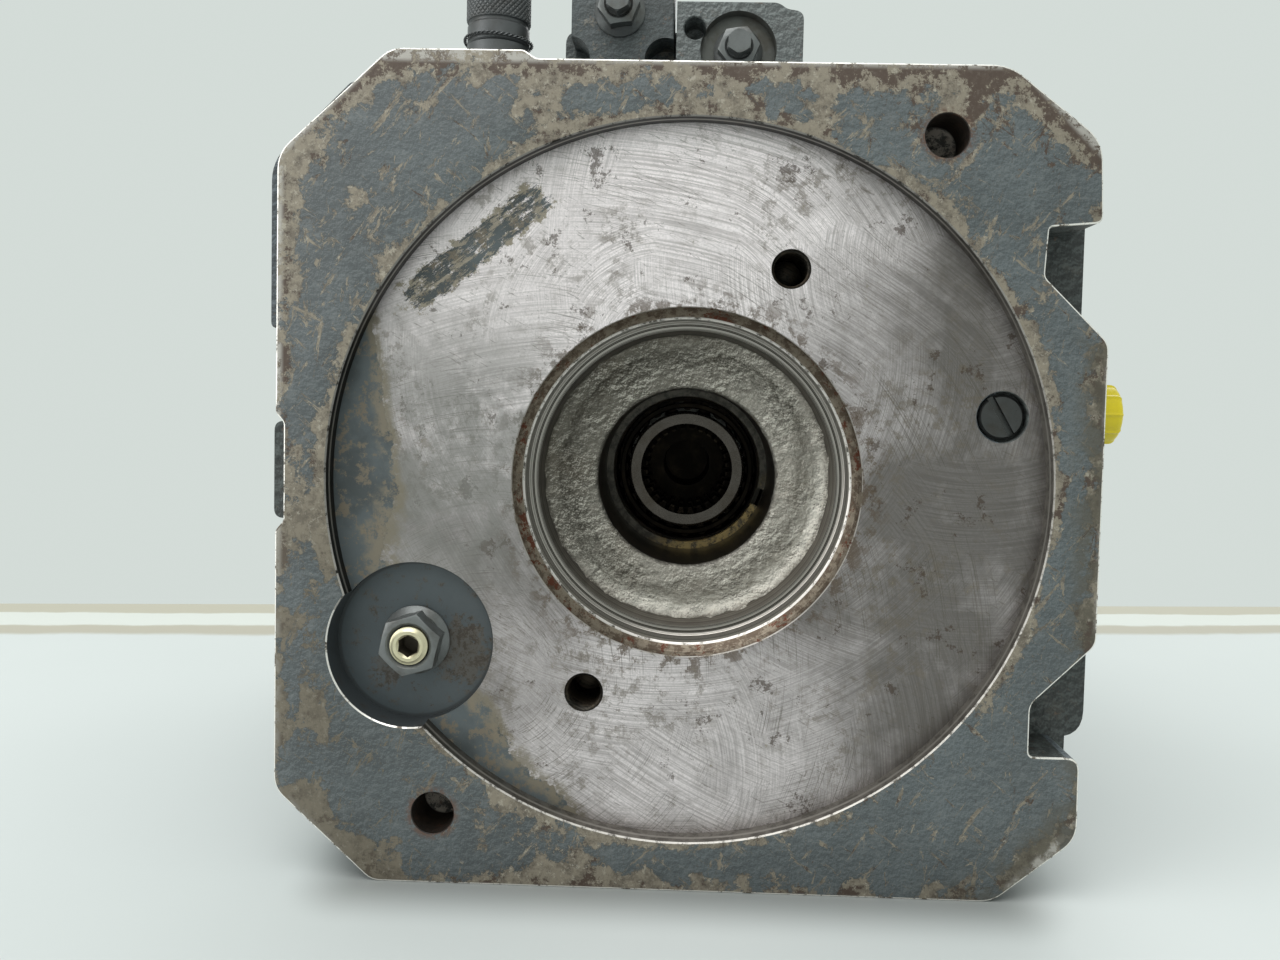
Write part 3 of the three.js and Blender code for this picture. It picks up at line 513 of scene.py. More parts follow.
def face_primer(look, edge):
    """What shows where the paint is gone: tan primer, rust and bright metal along the outline."""
    primer = look.mix(look.noise(5, 9, 0.8).ease(0.44, 0.58), PRIMER, (0.13, 0.11, 0.086))
    rusty = edge.ease(7, 0) + look.z.ease(70, 120) * 0.5 + look.x.ease(-40, 110) * 0.45
    rusty += (look.x + look.z).ease(150, 215) * 0.4
    rusty += swing(look, 10, 9, 0.8, 15.0)
    shine = edge.ease(2.2, 0.2) * look.noise(5, 8, 0.8).ease(0.45, 0.52)
    low_left = look.z.ease(20, -50) * look.x.ease(-50, -100)
    return look.coats(primer, (look.noise(2.4, 8, 0.8).ease(0.54, 0.6), (0.33, 0.3, 0.245)),
                      (rusty.ease(1.15, 1.45) * 0.85, RUST), (shine * 0.7, (0.5, 0.48, 0.44)),
                      (low_left * 0.6, (0.1, 0.085, 0.06)))


def worn_face():
    """Painted rear face: paint worn through to primer and rust near its edges and the rim."""
    look = Look("worn_face_paint")
    edge = plate_edge(look)
    total = face_wear(look, edge)
    bare = with_scratches(look, total.ease(1.85, 1.98))
    grain = look.noise(0.9, 4, 0.7)
    colour = look.mix(bare, face_paint(look, grain), face_primer(look, edge))
    right_edge = edge.ease(13, 3) * look.x.ease(60, 116) * look.z.ease(92, 50)
    soiled = right_edge * look.noise(11, 8, 0.72).ease(0.42, 0.53)
    colour = look.mix(soiled * 0.8, colour, (0.082, 0.072, 0.052))
    for x, z in BLIND_HOLES:
        ring_of_rust = lobe(look, x, z, 6.9, 9.2) * look.noise(3, 8, 0.78).ease(0.44, 0.54)
        colour = look.mix(ring_of_rust * 0.85, colour, (0.1, 0.052, 0.034))
    rimmed = total.ease(1.5, 1.8) * total.ease(2.1, 1.9)
    specks = look.noise(1.9, 5, 0.75).ease(0.61, 0.65)
    colour = look.coats(colour, (rimmed * 0.35, (0.05, 0.042, 0.034)),
                        (specks * 0.45, (0.04, 0.03, 0.024)))
    rough = look.blend(bare, look.blend(grain, 0.36, 0.52), 0.66)
    height = look.noise(2.2, 7, 0.75) * 0.7 - bare * 0.5
    return look.finish(colour, rough, bare * 0.15, height, depth=0.3, strength=0.55)


def arcs(look, x, z, fine):
    """Streaks that follow circles about (x, z), as a face cutter leaves them."""
    angle = look.math("ARCTAN2", look.z - z, look.x - x)
    return look.noise(1.0, 3, 0.6, spot=look.combine(radius_at(look, x, z) * fine, angle * 2.6))


def milled_steel(look, fine):
    """Swirling cutter marks with stains and painted reflections, and how far each spot lies on a ridge."""
    streak = look.blend(look.noise(60, 3, 0.5).ease(0.4, 0.6), arcs(look, -34, -92, 1.7),
                        arcs(look, 88, 70, 2.1))
    streak = look.blend(look.noise(34, 3, 0.5).ease(0.46, 0.56), streak, arcs(look, -8, 40, 2.5))
    streak = look.blend(look.x.ease(-5, -60) * 0.55, streak, 0.49)
    # bright: painted reflection, two lobes of painted light at the upper left and the bottom plus a
    # brighter left side, lifting the steel from its dark to its light colours
    bright = lobe(look, -26, 84, 40, 128) + lobe(look, 2, -94, 14, 88) * 0.72
    bright += look.x.ease(10, -70) * 0.16
    bright = look.math("ADD", bright, swing(look, 30, 6, 0.65, 1.3), clamp=True)
    light = look.mix(bright, (0.19, 0.175, 0.167), (1.0, 0.925, 0.935))
    dark = look.mix(bright, (0.145, 0.132, 0.124), (0.6, 0.55, 0.55))
    steel = look.mix(streak.ease(0.38, 0.6), dark, light)
    cuts = arcs(look, -60, -60, 3.2).ease(0.57, 0.61) * look.noise(26, 4, 0.6).ease(0.44, 0.56)
    nicks = look.noise(1.0, 5, 0.7, spot=slanted(look, -28, 7, 0.8)).ease(0.6, 0.64) * 0.5
    patch = look.noise(36, 6, 0.65).ease(0.46, 0.6)
    mottle = look.noise(4, 9, 0.82).ease(0.5, 0.56) * (patch * 0.45 + 0.12)
    spots = look.noise(11, 8, 0.78).ease(0.6, 0.62)
    centre_rust = radius_at(look).ease(66, 54) * look.noise(8, 8, 0.78).ease(0.5, 0.56)
    soiled = lobe(look, -74, 8, 14, 66) * look.noise(14, 8, 0.72).ease(0.3, 0.56)
    steel = look.coats(steel, (fine.ease(0.44, 0.6) * 0.4, dark), (cuts * 0.55, (0.1, 0.088, 0.07)),
                       (nicks, (0.12, 0.105, 0.085)), (mottle, (0.15, 0.125, 0.095)),
                       (spots * 0.7, (0.07, 0.048, 0.034)), (centre_rust * 0.7, (0.1, 0.068, 0.045)),
                       (soiled * 0.75, (0.21, 0.205, 0.19)))
    return steel, streak


def paint_smear(look):
    """A slanted zone above the centre, and the ragged paint that is left in it."""
    along = look.x * 0.78 + look.z * 0.63
    beside = look.z * 0.78 - look.x * 0.63
    zone = abs(along + 7.0).ease(34, 22) * abs(beside - 97.0).ease(9, 3)
    ragged = look.noise(1.0, 9, 0.82, spot=look.combine(along * 0.12, beside * 0.4))
    return zone, (ragged + zone * 0.2).ease(0.672, 0.682)


def left_reach(look):
    """How far a spot lies, in millimetres, inside the paint that is left along the left."""
    wobble = swing(look, 40, 3, 0.5, 40.0) + swing(look, 9, 9, 0.76, 22.0)
    leftness = (look.x + look.z * 0.42).ease(-38, -98)
    inside = radius_at(look) - 94.0 + wobble
    return inside + (leftness - 1.0) * 60.0


def machined_floor():
    """Face-milled floor of the recess, with paint left at its left and a smear of it above; its bare steel
    carries the painted reflections of milled_steel.
    """
    look = Look("milled_recess_floor", metallic=0.8)
    fine = look.noise(0.7, 5, 0.7)
    steel, streak = milled_steel(look, fine)
    inside = left_reach(look)
    left = inside.ease(-0.3, 0.3)
    border = inside.ease(-9, -2) * inside.ease(10, 3)
    smear_zone, smear = paint_smear(look)
    halo = (look.noise(4, 8, 0.8) + smear_zone * 0.2).ease(0.64, 0.67)
    steel = look.mix(halo * 0.85, steel, (0.26, 0.225, 0.16))
    kept = highest(left, smear)
    tone = look.mix(look.noise(22, 5, 0.6).ease(0.4, 0.6), (0.085, 0.1, 0.106), (0.055, 0.064, 0.066))
    tone = look.mix(look.noise(7, 9, 0.8).ease(0.52, 0.57), tone, (0.15, 0.125, 0.092))
    broken = border * look.noise(7, 9, 0.8).ease(0.4, 0.5)
    colour = look.mix(broken * 0.8, steel, (0.22, 0.19, 0.14))
    along_edge = left * inside.ease(10, 4) * look.noise(8, 9, 0.8).ease(0.42, 0.5)
    colour = look.coats(colour, (kept, tone), (along_edge * 0.85, (0.19, 0.16, 0.115)))
    rough = look.blend(kept, look.blend(streak, 0.34, 0.5), 0.58)
    height = streak * 0.6 + kept * 0.6 + fine * 0.25
    return look.finish(colour, rough, look.blend(kept, 0.8, 0.1), height, depth=0.14, strength=0.5)


def turned_steel(name, light, dark, dirt, rough):
    """Lathe-turned steel with fine rings about the shaft axis and brown grime."""
    look = Look(name, metallic=0.85)
    r = radius_at(look)
    rings = look.noise(1.0, 2, 0.6, spot=look.combine(r * 2.2, look.y * 2.2))
    colour = look.mix(rings.ease(0.36, 0.64), dark, light)
    stain = look.noise(12, 8, 0.75).ease(0.47, 0.56)
    colour = look.mix(stain * dirt, colour, (0.12, 0.085, 0.055))
    roughness = look.blend(rings, rough, rough + 0.16)
    return look.finish(colour, roughness, None, rings, depth=0.08, strength=0.5)


def pilot_steel():
    """Stepped pilot: a rusty chamfer between edges with painted highlights, then turned wall and ledge,
    with painted shade deeper in.
    """
    look = Look("pilot_steel", metallic=0.8)
    r = radius_at(look)
    rings = look.noise(1.0, 3, 0.6, spot=look.combine(r * 2.0, look.y * 1.6))
    colour = look.mix(rings.ease(0.44, 0.58), (0.06, 0.053, 0.045), (0.5, 0.47, 0.43))
    ragged = look.noise(4, 9, 0.8)
    rust = look.mix(ragged.ease(0.44, 0.56), (0.09, 0.066, 0.048), (0.21, 0.175, 0.135))
    rust = look.mix(look.noise(7, 8, 0.8).ease(0.55, 0.58), rust, (0.1, 0.035, 0.02))
    # painted highlights along the chamfer's outer and inner edges
    outer = look.y.ease(7.5, 7.2)
    inner = look.y.ease(10.8, 11.0) * look.y.ease(11.7, 11.4)
    edge_highlights = highest(outer, inner) * ragged.ease(0.58, 0.5)
    # painted shade deeper in the bore
    depth_shade = look.y.ease(20.6, 21.2) * 0.7
    colour = look.coats(colour, (look.y.ease(11.2, 10.7), rust), (edge_highlights * 0.8, (0.7, 0.66, 0.62)),
                        (depth_shade, (0.06, 0.052, 0.042)))
    return look.finish(colour, look.blend(rings, 0.26, 0.42), None, rings, depth=0.1, strength=0.6)


def oily_ring():
    """Dark oily ring, amber where the oil gathers low on the right."""
    look = Look("oily_snap_ring", metallic=0.5)
    low = look.x * 0.5 - look.z * 0.87
    oil = low.ease(14, 26) * look.noise(2.4, 7, 0.75).ease(0.4, 0.54)
    colour = look.mix(look.noise(3, 7, 0.75).ease(0.42, 0.58), (0.085, 0.075, 0.06), (0.03, 0.026, 0.02))
    colour = look.mix(oil, colour, (0.42, 0.3, 0.13))
    return look.finish(colour, 0.28, None, look.noise(1.2, 5, 0.65), depth=0.12, strength=0.6)


def recess_rim():
    """Wall of the recess: a bright lip with a painted highlight strongest low down, painted shade on the
    wall at its upper left, and one pale tool line.
    """
    look = Look("recess_rim", metallic=0.7)
    broken = look.noise(5, 8, 0.78)
    # side: painted shade, darkest at the upper left of the wall
    side = (look.x * 0.7 - look.z * 0.7).ease(-50, 70)
    line = look.y.ease(2.6, 2.9) * look.y.ease(4.1, 3.8)
    colour = look.mix(side, (0.012, 0.011, 0.009), (0.19, 0.175, 0.155))
    # lip: a bright edge line, a painted highlight that is strongest low down
    lip = look.y.ease(0.75, 0.45) * broken.ease(0.6, 0.5)
    lip *= look.z.ease(10, -60) * 0.5 + 0.4
    colour = look.coats(colour, (broken.ease(0.46, 0.56) * 0.5, (0.03, 0.025, 0.02)),
                        (line * 0.7, (0.36, 0.34, 0.31)), (lip, (0.62, 0.59, 0.55)))
    return look.finish(colour, look.blend(broken, 0.42, 0.6), None, look.noise(1.2, 4, 0.6), depth=0.1,
                       strength=0.5)


def cast_paint(name, light, dark, relief_depth=0.55, size=2.6, wear=0.25, painted_relief_light=0.45):
    """Paint over a sand-cast skin whose relief is drawn with painted highlights and painted shade, with
    rusty freckles and chips worn to primer.
    """
    look = Look(name, roughness=0.6)
    skin = relief(look, size, 5, 0.6, size * 0.16)
    colour = look.mix(look.noise(34, 4, 0.6), light, dark)
    # lit and shaded copies of the paint: painted highlights on the relief's upper sides, painted shade on
    # its lower sides
    colour = look.coats(colour,
                        (skin.ease(0.5, 0.62) * painted_relief_light, tuple(min(1, c * 2.2) for c in light)),
                        (skin.ease(0.49, 0.37) * painted_relief_light, tuple(c * 0.35 for c in dark)))
    colour = grime(look, colour, 26, 0.4)
    chips = look.noise(15, 9, 0.8).ease(0.575, 0.585)
    freckles = look.noise(3.2, 5, 0.75).ease(0.61, 0.65)
    colour = look.coats(colour, (chips * wear, PRIMER), (freckles * 0.4, RUST_LIGHT))
    height = look.noise(size, 5, 0.6)
    return look.finish(colour, look.blend(skin, 0.6, 0.42), None, height, depth=relief_depth, strength=0.8)


def bare_casting():
    """Unpainted cast ring round the shaft bore, brightest where its dish turns up at the lower right: a
    painted highlight there and painted light growing towards the lower right, with painted highlights and
    shade on its relief.
    """
    look = Look("bare_cast_ring", metallic=0.7)
    r = radius_at(look)
    skin = relief(look, 2.8, 6, 0.66, 0.3)
    toward = look.x * 0.5 - look.z * 0.87
    # a crescent of painted highlight where the dish turns up at the lower right
    crescent_highlight = abs(r - 43.2).ease(5.0, 1.5) * toward.ease(2, 34)
    # lit: painted light growing towards the lower right
    lit = (look.x * 0.8 - look.z * 0.5).ease(-42, 24)
    colour = look.mix(lit, (0.16, 0.148, 0.124), (0.33, 0.308, 0.27))
    # how strongly the relief gets painted highlights and painted shade
    relief_light_amount = look.noise(14, 4, 0.6).ease(0.42, 0.58) * 0.4 + 0.22
    outer = r.ease(45.2, 47.2) * look.noise(3, 8, 0.78).ease(0.42, 0.52)
    colour = look.coats(colour, (crescent_highlight * 0.75, (0.75, 0.71, 0.64)),
                        (skin.ease(0.51, 0.64) * relief_light_amount, (0.8, 0.76, 0.68)),
                        (skin.ease(0.48, 0.35) * relief_light_amount, (0.05, 0.043, 0.034)),
                        (outer * 0.55, (0.06, 0.05, 0.04)))
    colour = grime(look, colour, 17, 0.3, (0.13, 0.1, 0.065))
    return look.finish(colour, look.blend(skin, 0.42, 0.28), None, look.noise(3.6, 6, 0.66), depth=1.4,
                       strength=1.0)


def edge_metal():
    """Bare metal on the worn edges of the rear plate."""
    look = Look("bare_edge", metallic=0.6)
    broken = look.noise(6, 8, 0.78).ease(0.52, 0.6)
    colour = look.mix(broken, (0.85, 0.82, 0.77), (0.13, 0.105, 0.08))
    return look.finish(colour, look.blend(broken, 0.34, 0.6))


def drilled_rust():
    """Rusty walls and drill tip of the blind holes: the walls darkened as painted shade, the tip lighter as
    a painted highlight.
    """
    look = Look("rusty_hole_painted_shade", metallic=0.4)
    tip = look.y.ease(14.9, 15.3)
    # walls near black as painted shade inside the hole, the drill tip lighter as a painted highlight
    colour = look.mix(tip, (0.032, 0.023, 0.018), (0.24, 0.205, 0.175))
    colour = look.coats(colour, (look.noise(3, 8, 0.78).ease(0.46, 0.56), (0.02, 0.016, 0.013)),
                        (look.noise(4, 8, 0.78).ease(0.53, 0.6) * 0.6, (0.075, 0.036, 0.022)))
    return look.finish(colour, 0.5, None, look.noise(1.5, 4, 0.6), depth=0.3, strength=0.6)


def pocket_paint():
    """Paint of the servo pocket, brown and crusted low on its right, with painted shade in a dark line
    round its floor's edge.
    """
    look = Look("pocket_paint", roughness=0.5)
    x, z = SERVO_SPOT
    colour = look.mix(look.noise(18, 4, 0.6), (0.07, 0.086, 0.096), (0.042, 0.052, 0.056))
    to_right = look.x.ease(x - 6, x + 24)
    patch = highest(lobe(look, x + 15, z - 3, 5, 15), lobe(look, x - 8, z - 9, 1, 9))
    total = patch * 1.2 + swing(look, 5, 9, 0.8, 9.0)
    crust = look.noise(1.8, 8, 0.8).ease(0.44, 0.58)
    brown = total.ease(0.45, 0.8) * (crust * 0.6 + 0.4)
    brown += to_right * 0.1
    earth = look.mix(crust, (0.085, 0.06, 0.036), (0.035, 0.025, 0.017))
    # rim: painted shade in a dark line where the pocket's floor meets its wall
    rim = abs(radius_at(look, x, z) - (POCKET_R - 0.4)).ease(1.0, 0.3)
    colour = look.coats(colour, (brown * 0.95, earth), (rim * 0.7, (0.025, 0.027, 0.028)))
    return look.finish(colour, None, None, look.noise(2.5, 5, 0.6), depth=0.2, strength=0.5)


def plain_metal(name, light, dark, rough=0.35, metallic=0.85, size=6.0, stain=0.3, relief=0.05):
    """Steel, bronze or plated metal with soft variation and stains."""
    look = Look(name, metallic=metallic)
    fine = look.noise(0.9, 4, 0.6)
    colour = look.mix(look.noise(size, 5, 0.65), light, dark)
    colour = grime(look, colour, size * 2, stain, (0.06, 0.045, 0.03))
    return look.finish(colour, look.blend(fine, rough - 0.06, rough + 0.14), None, fine, depth=relief,
                       strength=0.4)


def soft_polymer(name, light, dark, rough=0.45, size=12.0):
    look = Look(name, roughness=rough)
    grain = look.noise(0.8, 4, 0.6)
    colour = look.mix(look.noise(size, 4, 0.6), light, dark)
    return look.finish(colour, look.blend(grain, rough - 0.05, rough + 0.1), None, grain, depth=0.06,
                       strength=0.35)


LOOKS = {
    "face": worn_face(),
    "floor": machined_floor(),
    "rim": recess_rim(),
    "pilot": pilot_steel(),
    "turned": turned_steel("turned_steel", (0.34, 0.33, 0.31), (0.13, 0.12, 0.1), dirt=0.6, rough=0.34),
    "cast": cast_paint("cast_paint", (0.085, 0.1, 0.112), (0.055, 0.067, 0.075)),
    # notch faces: the cast paint darkened as painted shade inside the notches and on the left lug's side
    "notch_painted_shade": cast_paint("notch_cast_painted_shade", (0.05, 0.058, 0.056), (0.03, 0.034, 0.032), 1.4, size=3.6,
                            wear=0.1, painted_relief_light=0.45),
    "seat": plain_metal("stained_seat", (0.15, 0.155, 0.145), (0.075, 0.075, 0.067), rough=0.4,
                        metallic=0.5, stain=0.6),
    "control": cast_paint("control_cast_paint", (0.14, 0.152, 0.15), (0.09, 0.1, 0.099), 0.8, size=2.6,
                          wear=0.1, painted_relief_light=0.4),
    "valve": cast_paint("valve_cast_paint", (0.08, 0.092, 0.094), (0.052, 0.06, 0.062), 0.5, size=1.8,
                        wear=0.5, painted_relief_light=0.3),
    "ring": bare_casting(),
    "edge": edge_metal(),
    "drilled": drilled_rust(),
    "socket": plain_metal("shaded_socket", (0.12, 0.1, 0.07), (0.05, 0.04, 0.03), rough=0.5, metallic=0.5),
    "pocket": pocket_paint(),
    # bore walls, rear race and holes: near-black turned steel as painted shade deep inside, with brown
    # grime
    "bore": turned_steel("bore_painted_shade", (0.04, 0.035, 0.028), (0.012, 0.011, 0.009), dirt=0.3, rough=0.3),
    "steel": plain_metal("ground_steel", (0.5, 0.49, 0.47), (0.34, 0.33, 0.31)),
    "race": plain_metal("ground_ring_face", (0.115, 0.1, 0.088), (0.06, 0.052, 0.045), rough=0.24,
                        size=5.0, stain=0.4),
    "amber": oily_ring(),
    # shaft socket, shaft and needle cage deep in the bore: near black as painted shade
    "inside": plain_metal("shaft_bore_painted_shade", (0.012, 0.01, 0.008), (0.003, 0.0025, 0.002), rough=0.4,
                          metallic=1.0, size=4.0),
    "plug": plain_metal("black_plug", (0.09, 0.092, 0.09), (0.045, 0.046, 0.045), rough=0.28, size=3.0,
                        relief=0.12),
    "dark": plain_metal("dark_steel", (0.14, 0.145, 0.148), (0.075, 0.078, 0.08), rough=0.4, metallic=0.65),
    "nut": plain_metal("painted_nut", (0.2, 0.208, 0.205), (0.11, 0.117, 0.117), rough=0.3,
                       metallic=0.5, stain=0.6, relief=0.15),
    "zinc": plain_metal("yellow_zinc", (0.74, 0.7, 0.5), (0.52, 0.46, 0.3), rough=0.28, stain=0.2),
    "bronze": plain_metal("bearing_bronze", (0.52, 0.36, 0.18), (0.36, 0.24, 0.11)),
    "rubber": soft_polymer("seal_rubber", (0.02, 0.02, 0.02), (0.035, 0.033, 0.03), rough=0.6),
    "yellow": soft_polymer("yellow_plastic", (0.8, 0.64, 0.004), (0.66, 0.53, 0.006), rough=0.34),
    "gasket": soft_polymer("gasket_fibre", (0.06, 0.06, 0.05), (0.035, 0.035, 0.03), rough=0.8),
}


# ---- showing a piece ----

def choose(obj, names, pick):
    """Gives each face the look that pick(corners, normal) names, in millimetres."""
    obj.data.materials.clear()
    for name in names:
        obj.data.materials.append(LOOKS[name])
    for face in obj.data.polygons:
        corners = [obj.data.vertices[i].co for i in face.vertices]
        face.material_index = names.index(pick(corners, face.normal))


def reach(corners, spot=(0, 0)):
    """The greatest distance of a face's corners from a line along Y."""
    return max(hypot(c.x - spot[0], c.z - spot[1]) for c in corners)


def mid(corners):
    return sum(corners, Vector()) / len(corners)


def show(obj, name, node=None, look=None, body="housing", smooth=35):
    """Names a finished shape, turns it into metres in the row frame and lets it ride."""
    obj.name = obj.data.name = name
    if look:
        obj.data.materials.clear()
        obj.data.materials.append(LOOKS[look])
        for face in obj.data.polygons:
            face.material_index = 0
    obj.data.transform(TO_ROW)
    for face in obj.data.polygons:
        face.use_smooth = True
    obj.data.set_sharp_from_angle(angle=radians(smooth))
    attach(obj, body)
    if node:
        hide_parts(node)


# ---- camera and light ----

CAMERA_SPOT = (-0.3, -289.2, 26.1)
PITCH, YAW, ROLL = radians(2.47), radians(1.39), radians(1.3)
FOCAL_LENGTH = 27.03
SHIFT = (-0.018, -0.0316)


def camera():
    """Close to the rear end, a little above the shaft, looking almost along it."""
    basis = Matrix(((cos(YAW), sin(YAW), 0), (0, 0, -1), (-sin(YAW), cos(YAW), 0)))
    basis = Matrix.Rotation(ROLL, 3, "Z") @ Matrix.Rotation(PITCH, 3, "X") @ basis
    right, down, ahead = basis
    lens = bpy.data.cameras.new("camera")
    lens.sensor_width, lens.lens = 36, FOCAL_LENGTH
    lens.shift_x, lens.shift_y = SHIFT
    lens.clip_start, lens.clip_end = 0.01, 50
    obj = bpy.data.objects.new("camera", lens)
    add_to_scene(obj)
    axes = Matrix((right, -down, -ahead)).transposed()
    obj.matrix_world = Matrix.Translation(TO_ROW @ Vector(CAMERA_SPOT)) @ axes.to_4x4()
    bpy.context.scene.camera = obj


def lamp(name, spot, size, power):
    """An area lamp that is aimed at the motor's middle."""
    light = bpy.data.lights.new(name, "AREA")
    light.shape = "RECTANGLE"
    light.size, light.size_y = size
    light.energy = power
    obj = bpy.data.objects.new(name, light)
    add_to_scene(obj)
    direction = Vector(LAMP_AIM) - Vector(spot)
    obj.matrix_world = Matrix.Translation(spot) @ direction.to_track_quat("-Z", "Y").to_matrix().to_4x4()


def table_look():
    """Pale table, shaded round the motor, with a stained seam where it ends."""
    look = Look("pale_table", roughness=0.6)
    tone = look.mix(look.noise(220, 3, 0.5), (0.655, 0.685, 0.68), (0.6, 0.63, 0.625))
    beside = highest(abs(look.x) - 96.0, 0.0)
    ahead = highest(highest(look.y * -1.0, look.y - REAR_END), 0.0)
    away = look.math("SQRT", beside * beside + ahead * ahead)
    seam = look.y - (look.x * BACK_SLANT + BACK_EDGE) + swing(look, 60, 5, 0.6, 16.0)
    return look.finish(look.coats(tone, (away.ease(26, 0) * 0.75, (0.16, 0.165, 0.16)),
                                  (seam.ease(-92, -82) * 0.75, (0.42, 0.37, 0.27)),
                                  (seam.ease(-66, -60), (0.68, 0.7, 0.66)),
                                  (seam.ease(-30, -26) * 0.8, (0.45, 0.41, 0.31))))


def wall_look():
    """The world's own tone, unlit."""
    wall = bpy.data.materials.new("wall_tone")
    wall.use_nodes = True
    glow = wall.node_tree.nodes.new("ShaderNodeEmission")
    glow.inputs[0].default_value, glow.inputs[1].default_value = WALL, WALL_LIGHT
    wall.node_tree.links.new(glow.outputs[0], wall.node_tree.nodes["Material Output"].inputs[0])
    return wall


def lights():
    """The world's tone and three lamps, with places and sizes in metres and power in watts."""
    scene = bpy.context.scene
    scene.view_settings.view_transform = "Standard"
    scene.world = bpy.data.worlds.new("studio")
    scene.world.use_nodes = True
    background = scene.world.node_tree.nodes["Background"]
    background.inputs[0].default_value, background.inputs[1].default_value = WALL, WALL_LIGHT
    lamp("key", (-0.35, -0.7, 1.3), (1.4, 0.9), 11)
    lamp("side", (-1.2, -0.8, 0.45), (0.7, 1.0), 5)
    lamp("back", (0.5, 1.2, 1.2), (1.4, 1.0), 10)


def studio():
    """Pale table that ends behind the motor, and a plain wall of the world's own tone past it."""
    lights()
    back, far = (TO_ROW @ Vector((0, BACK_EDGE, 0))).y, TABLE_HALF
    slant = far * BACK_SLANT
    left, right = (-far, back - slant, 0), (far, back + slant, 0)
    table = mesh_object("table", [(-far, -far, 0), (far, -far, 0), right, left], [[0, 1, 2, 3]])
    table.data.materials.append(table_look())
    beyond = mesh_object("beyond", [left, right, (far, far, 0), (-far, far, 0)], [[0, 1, 2, 3]])
    beyond.data.materials.append(wall_look())


# ---- rear port housing ----

def plate_outline():
    return rounded([(-125.3, 97.2, 5), (-91.4, 128.8, 4), (-51.4, 128.8, 1), (-47.6, 126.3, 1),
                    (92.2, 126.3, 5), (120.2, 104.6, 6), (121.3, 80.6, 2.5), (105.6, 79.2, 1.2),
                    (104.8, 64.5, 1.5), (124.4, 45.3, 2.5), (124.4, -45.3, 2.5), (105.4, -64, 2.5),
                    (105.5, -79.9, 1.8), (120.8, -79.9, 4), (121, -105, 5), (96.2, BOTTOM, 4),
                    (-94.8, BOTTOM, 3), (-125.4, -97, 4), (-125.4, -17, 1), (-122.9, -14, 1),
                    (-122.9, 16, 1), (-125.4, 19, 1)])


def cast_outline():
    left, right, top, chamfer, radius = -122, 124.3, 122, 30, 9
    corners = [(left, BOTTOM + chamfer), (left, top - chamfer), (left + chamfer, top),
               (right - chamfer, top), (right, top - chamfer), (right, BOTTOM + chamfer),
               (right - chamfer, BOTTOM), (left + chamfer, BOTTOM)]
    return rounded([(x, z, radius) for x, z in corners])


def socket_holes(side):
    """Port bore and its four flange threads on one side."""
    outward = (-side, 0, 0)
    mouth = (PORT_RIGHT if side > 0 else PORT_LEFT) + side * 0.01
    tools = [drilled(12.7, 88, outward, (mouth, PORT_Y, PORT_Z), chamfer=1.2)]
    for dy, dz in PORT_BOLTS:
        tools.append(drilled(5.2, 22, outward, (mouth, PORT_Y + dy, PORT_Z + dz), chamfer=0.9, tip=3,
                             sides=32))
    return tools


def kidney(side, steps=24):
    """Cutter for a kidney-shaped port that the valve plate feeds."""
    def arc(r, a0, a1):
        return [(side * r * cos(radians(a0 + (a1 - a0) * i / steps)),
                 r * sin(radians(a0 + (a1 - a0) * i / steps))) for i in range(steps + 1)]

    return drawn(arc(57.5, -48, 48) + arc(42.5, 48, -48), 48, REAR_END + 1)


def threaded_hole(spot):
    """An M12 blind thread in the recess floor, with real thread rings."""
    profile = [(0, PAD_FLOOR - 1), (7.0, PAD_FLOOR - 1), (6.1, PAD_FLOOR), (5.9, PAD_FLOOR + 0.4),
               (5.2, PAD_FLOOR + 1)]
    y = PAD_FLOOR + 1.2
    while y < 25:
        profile += [(5.9, y + 0.85), (5.2, y + 1.7)]
        y += 1.75
    profile += [(5.1, 27), (0, 30)]
    return turned(profile, 40, spot)


def rear_body():
    """The case behind the plate, with its pads and bosses."""
    gauge, fitting = middle_mm("gauge_port_plug"), middle_mm("cap_fitting")
    low, high = gauge.z - 15, gauge.z + 15
    case = drawn(cast_outline(), PLATE - 1, REAR_END)
    right_pad = drawn(rounded([(PAD_ROOT, -82), (PORT_RIGHT, -82, 9), (PORT_RIGHT, 12.6, 3),
                               (PAD_ROOT, 12.6)]), 25, 89)
    left_pad = block(PORT_LEFT, -PAD_ROOT, 26, 88, PORT_Z - 41, PORT_Z + 41)
    left_shoulder = drawn(rounded([(-129.4, 45, 2), (-129.4, 96, 6), (-104, 121.5, 3), (-PAD_ROOT, 117),
                                   (-PAD_ROOT, 45)]), 6, 62)
    gauge_boss = drawn(rounded([(GAUGE_FACE, low, 3), (GAUGE_FACE, high, 3), (-PAD_ROOT, high),
                                (-PAD_ROOT, low)]), gauge.y - 16, gauge.y + 17)
    top_pad = block(-55, 45, 56, REAR_END, PAD_ROOT, SEAT)
    cap_boss = turn_to(rod([(17, 0), (17, 24)], 64), (0, 0, 1), (fitting.x, fitting.y, PAD_ROOT))
    return soften(join(case, right_pad, left_pad, left_shoulder, gauge_boss, top_pad, cap_boss), 1.8, 3)


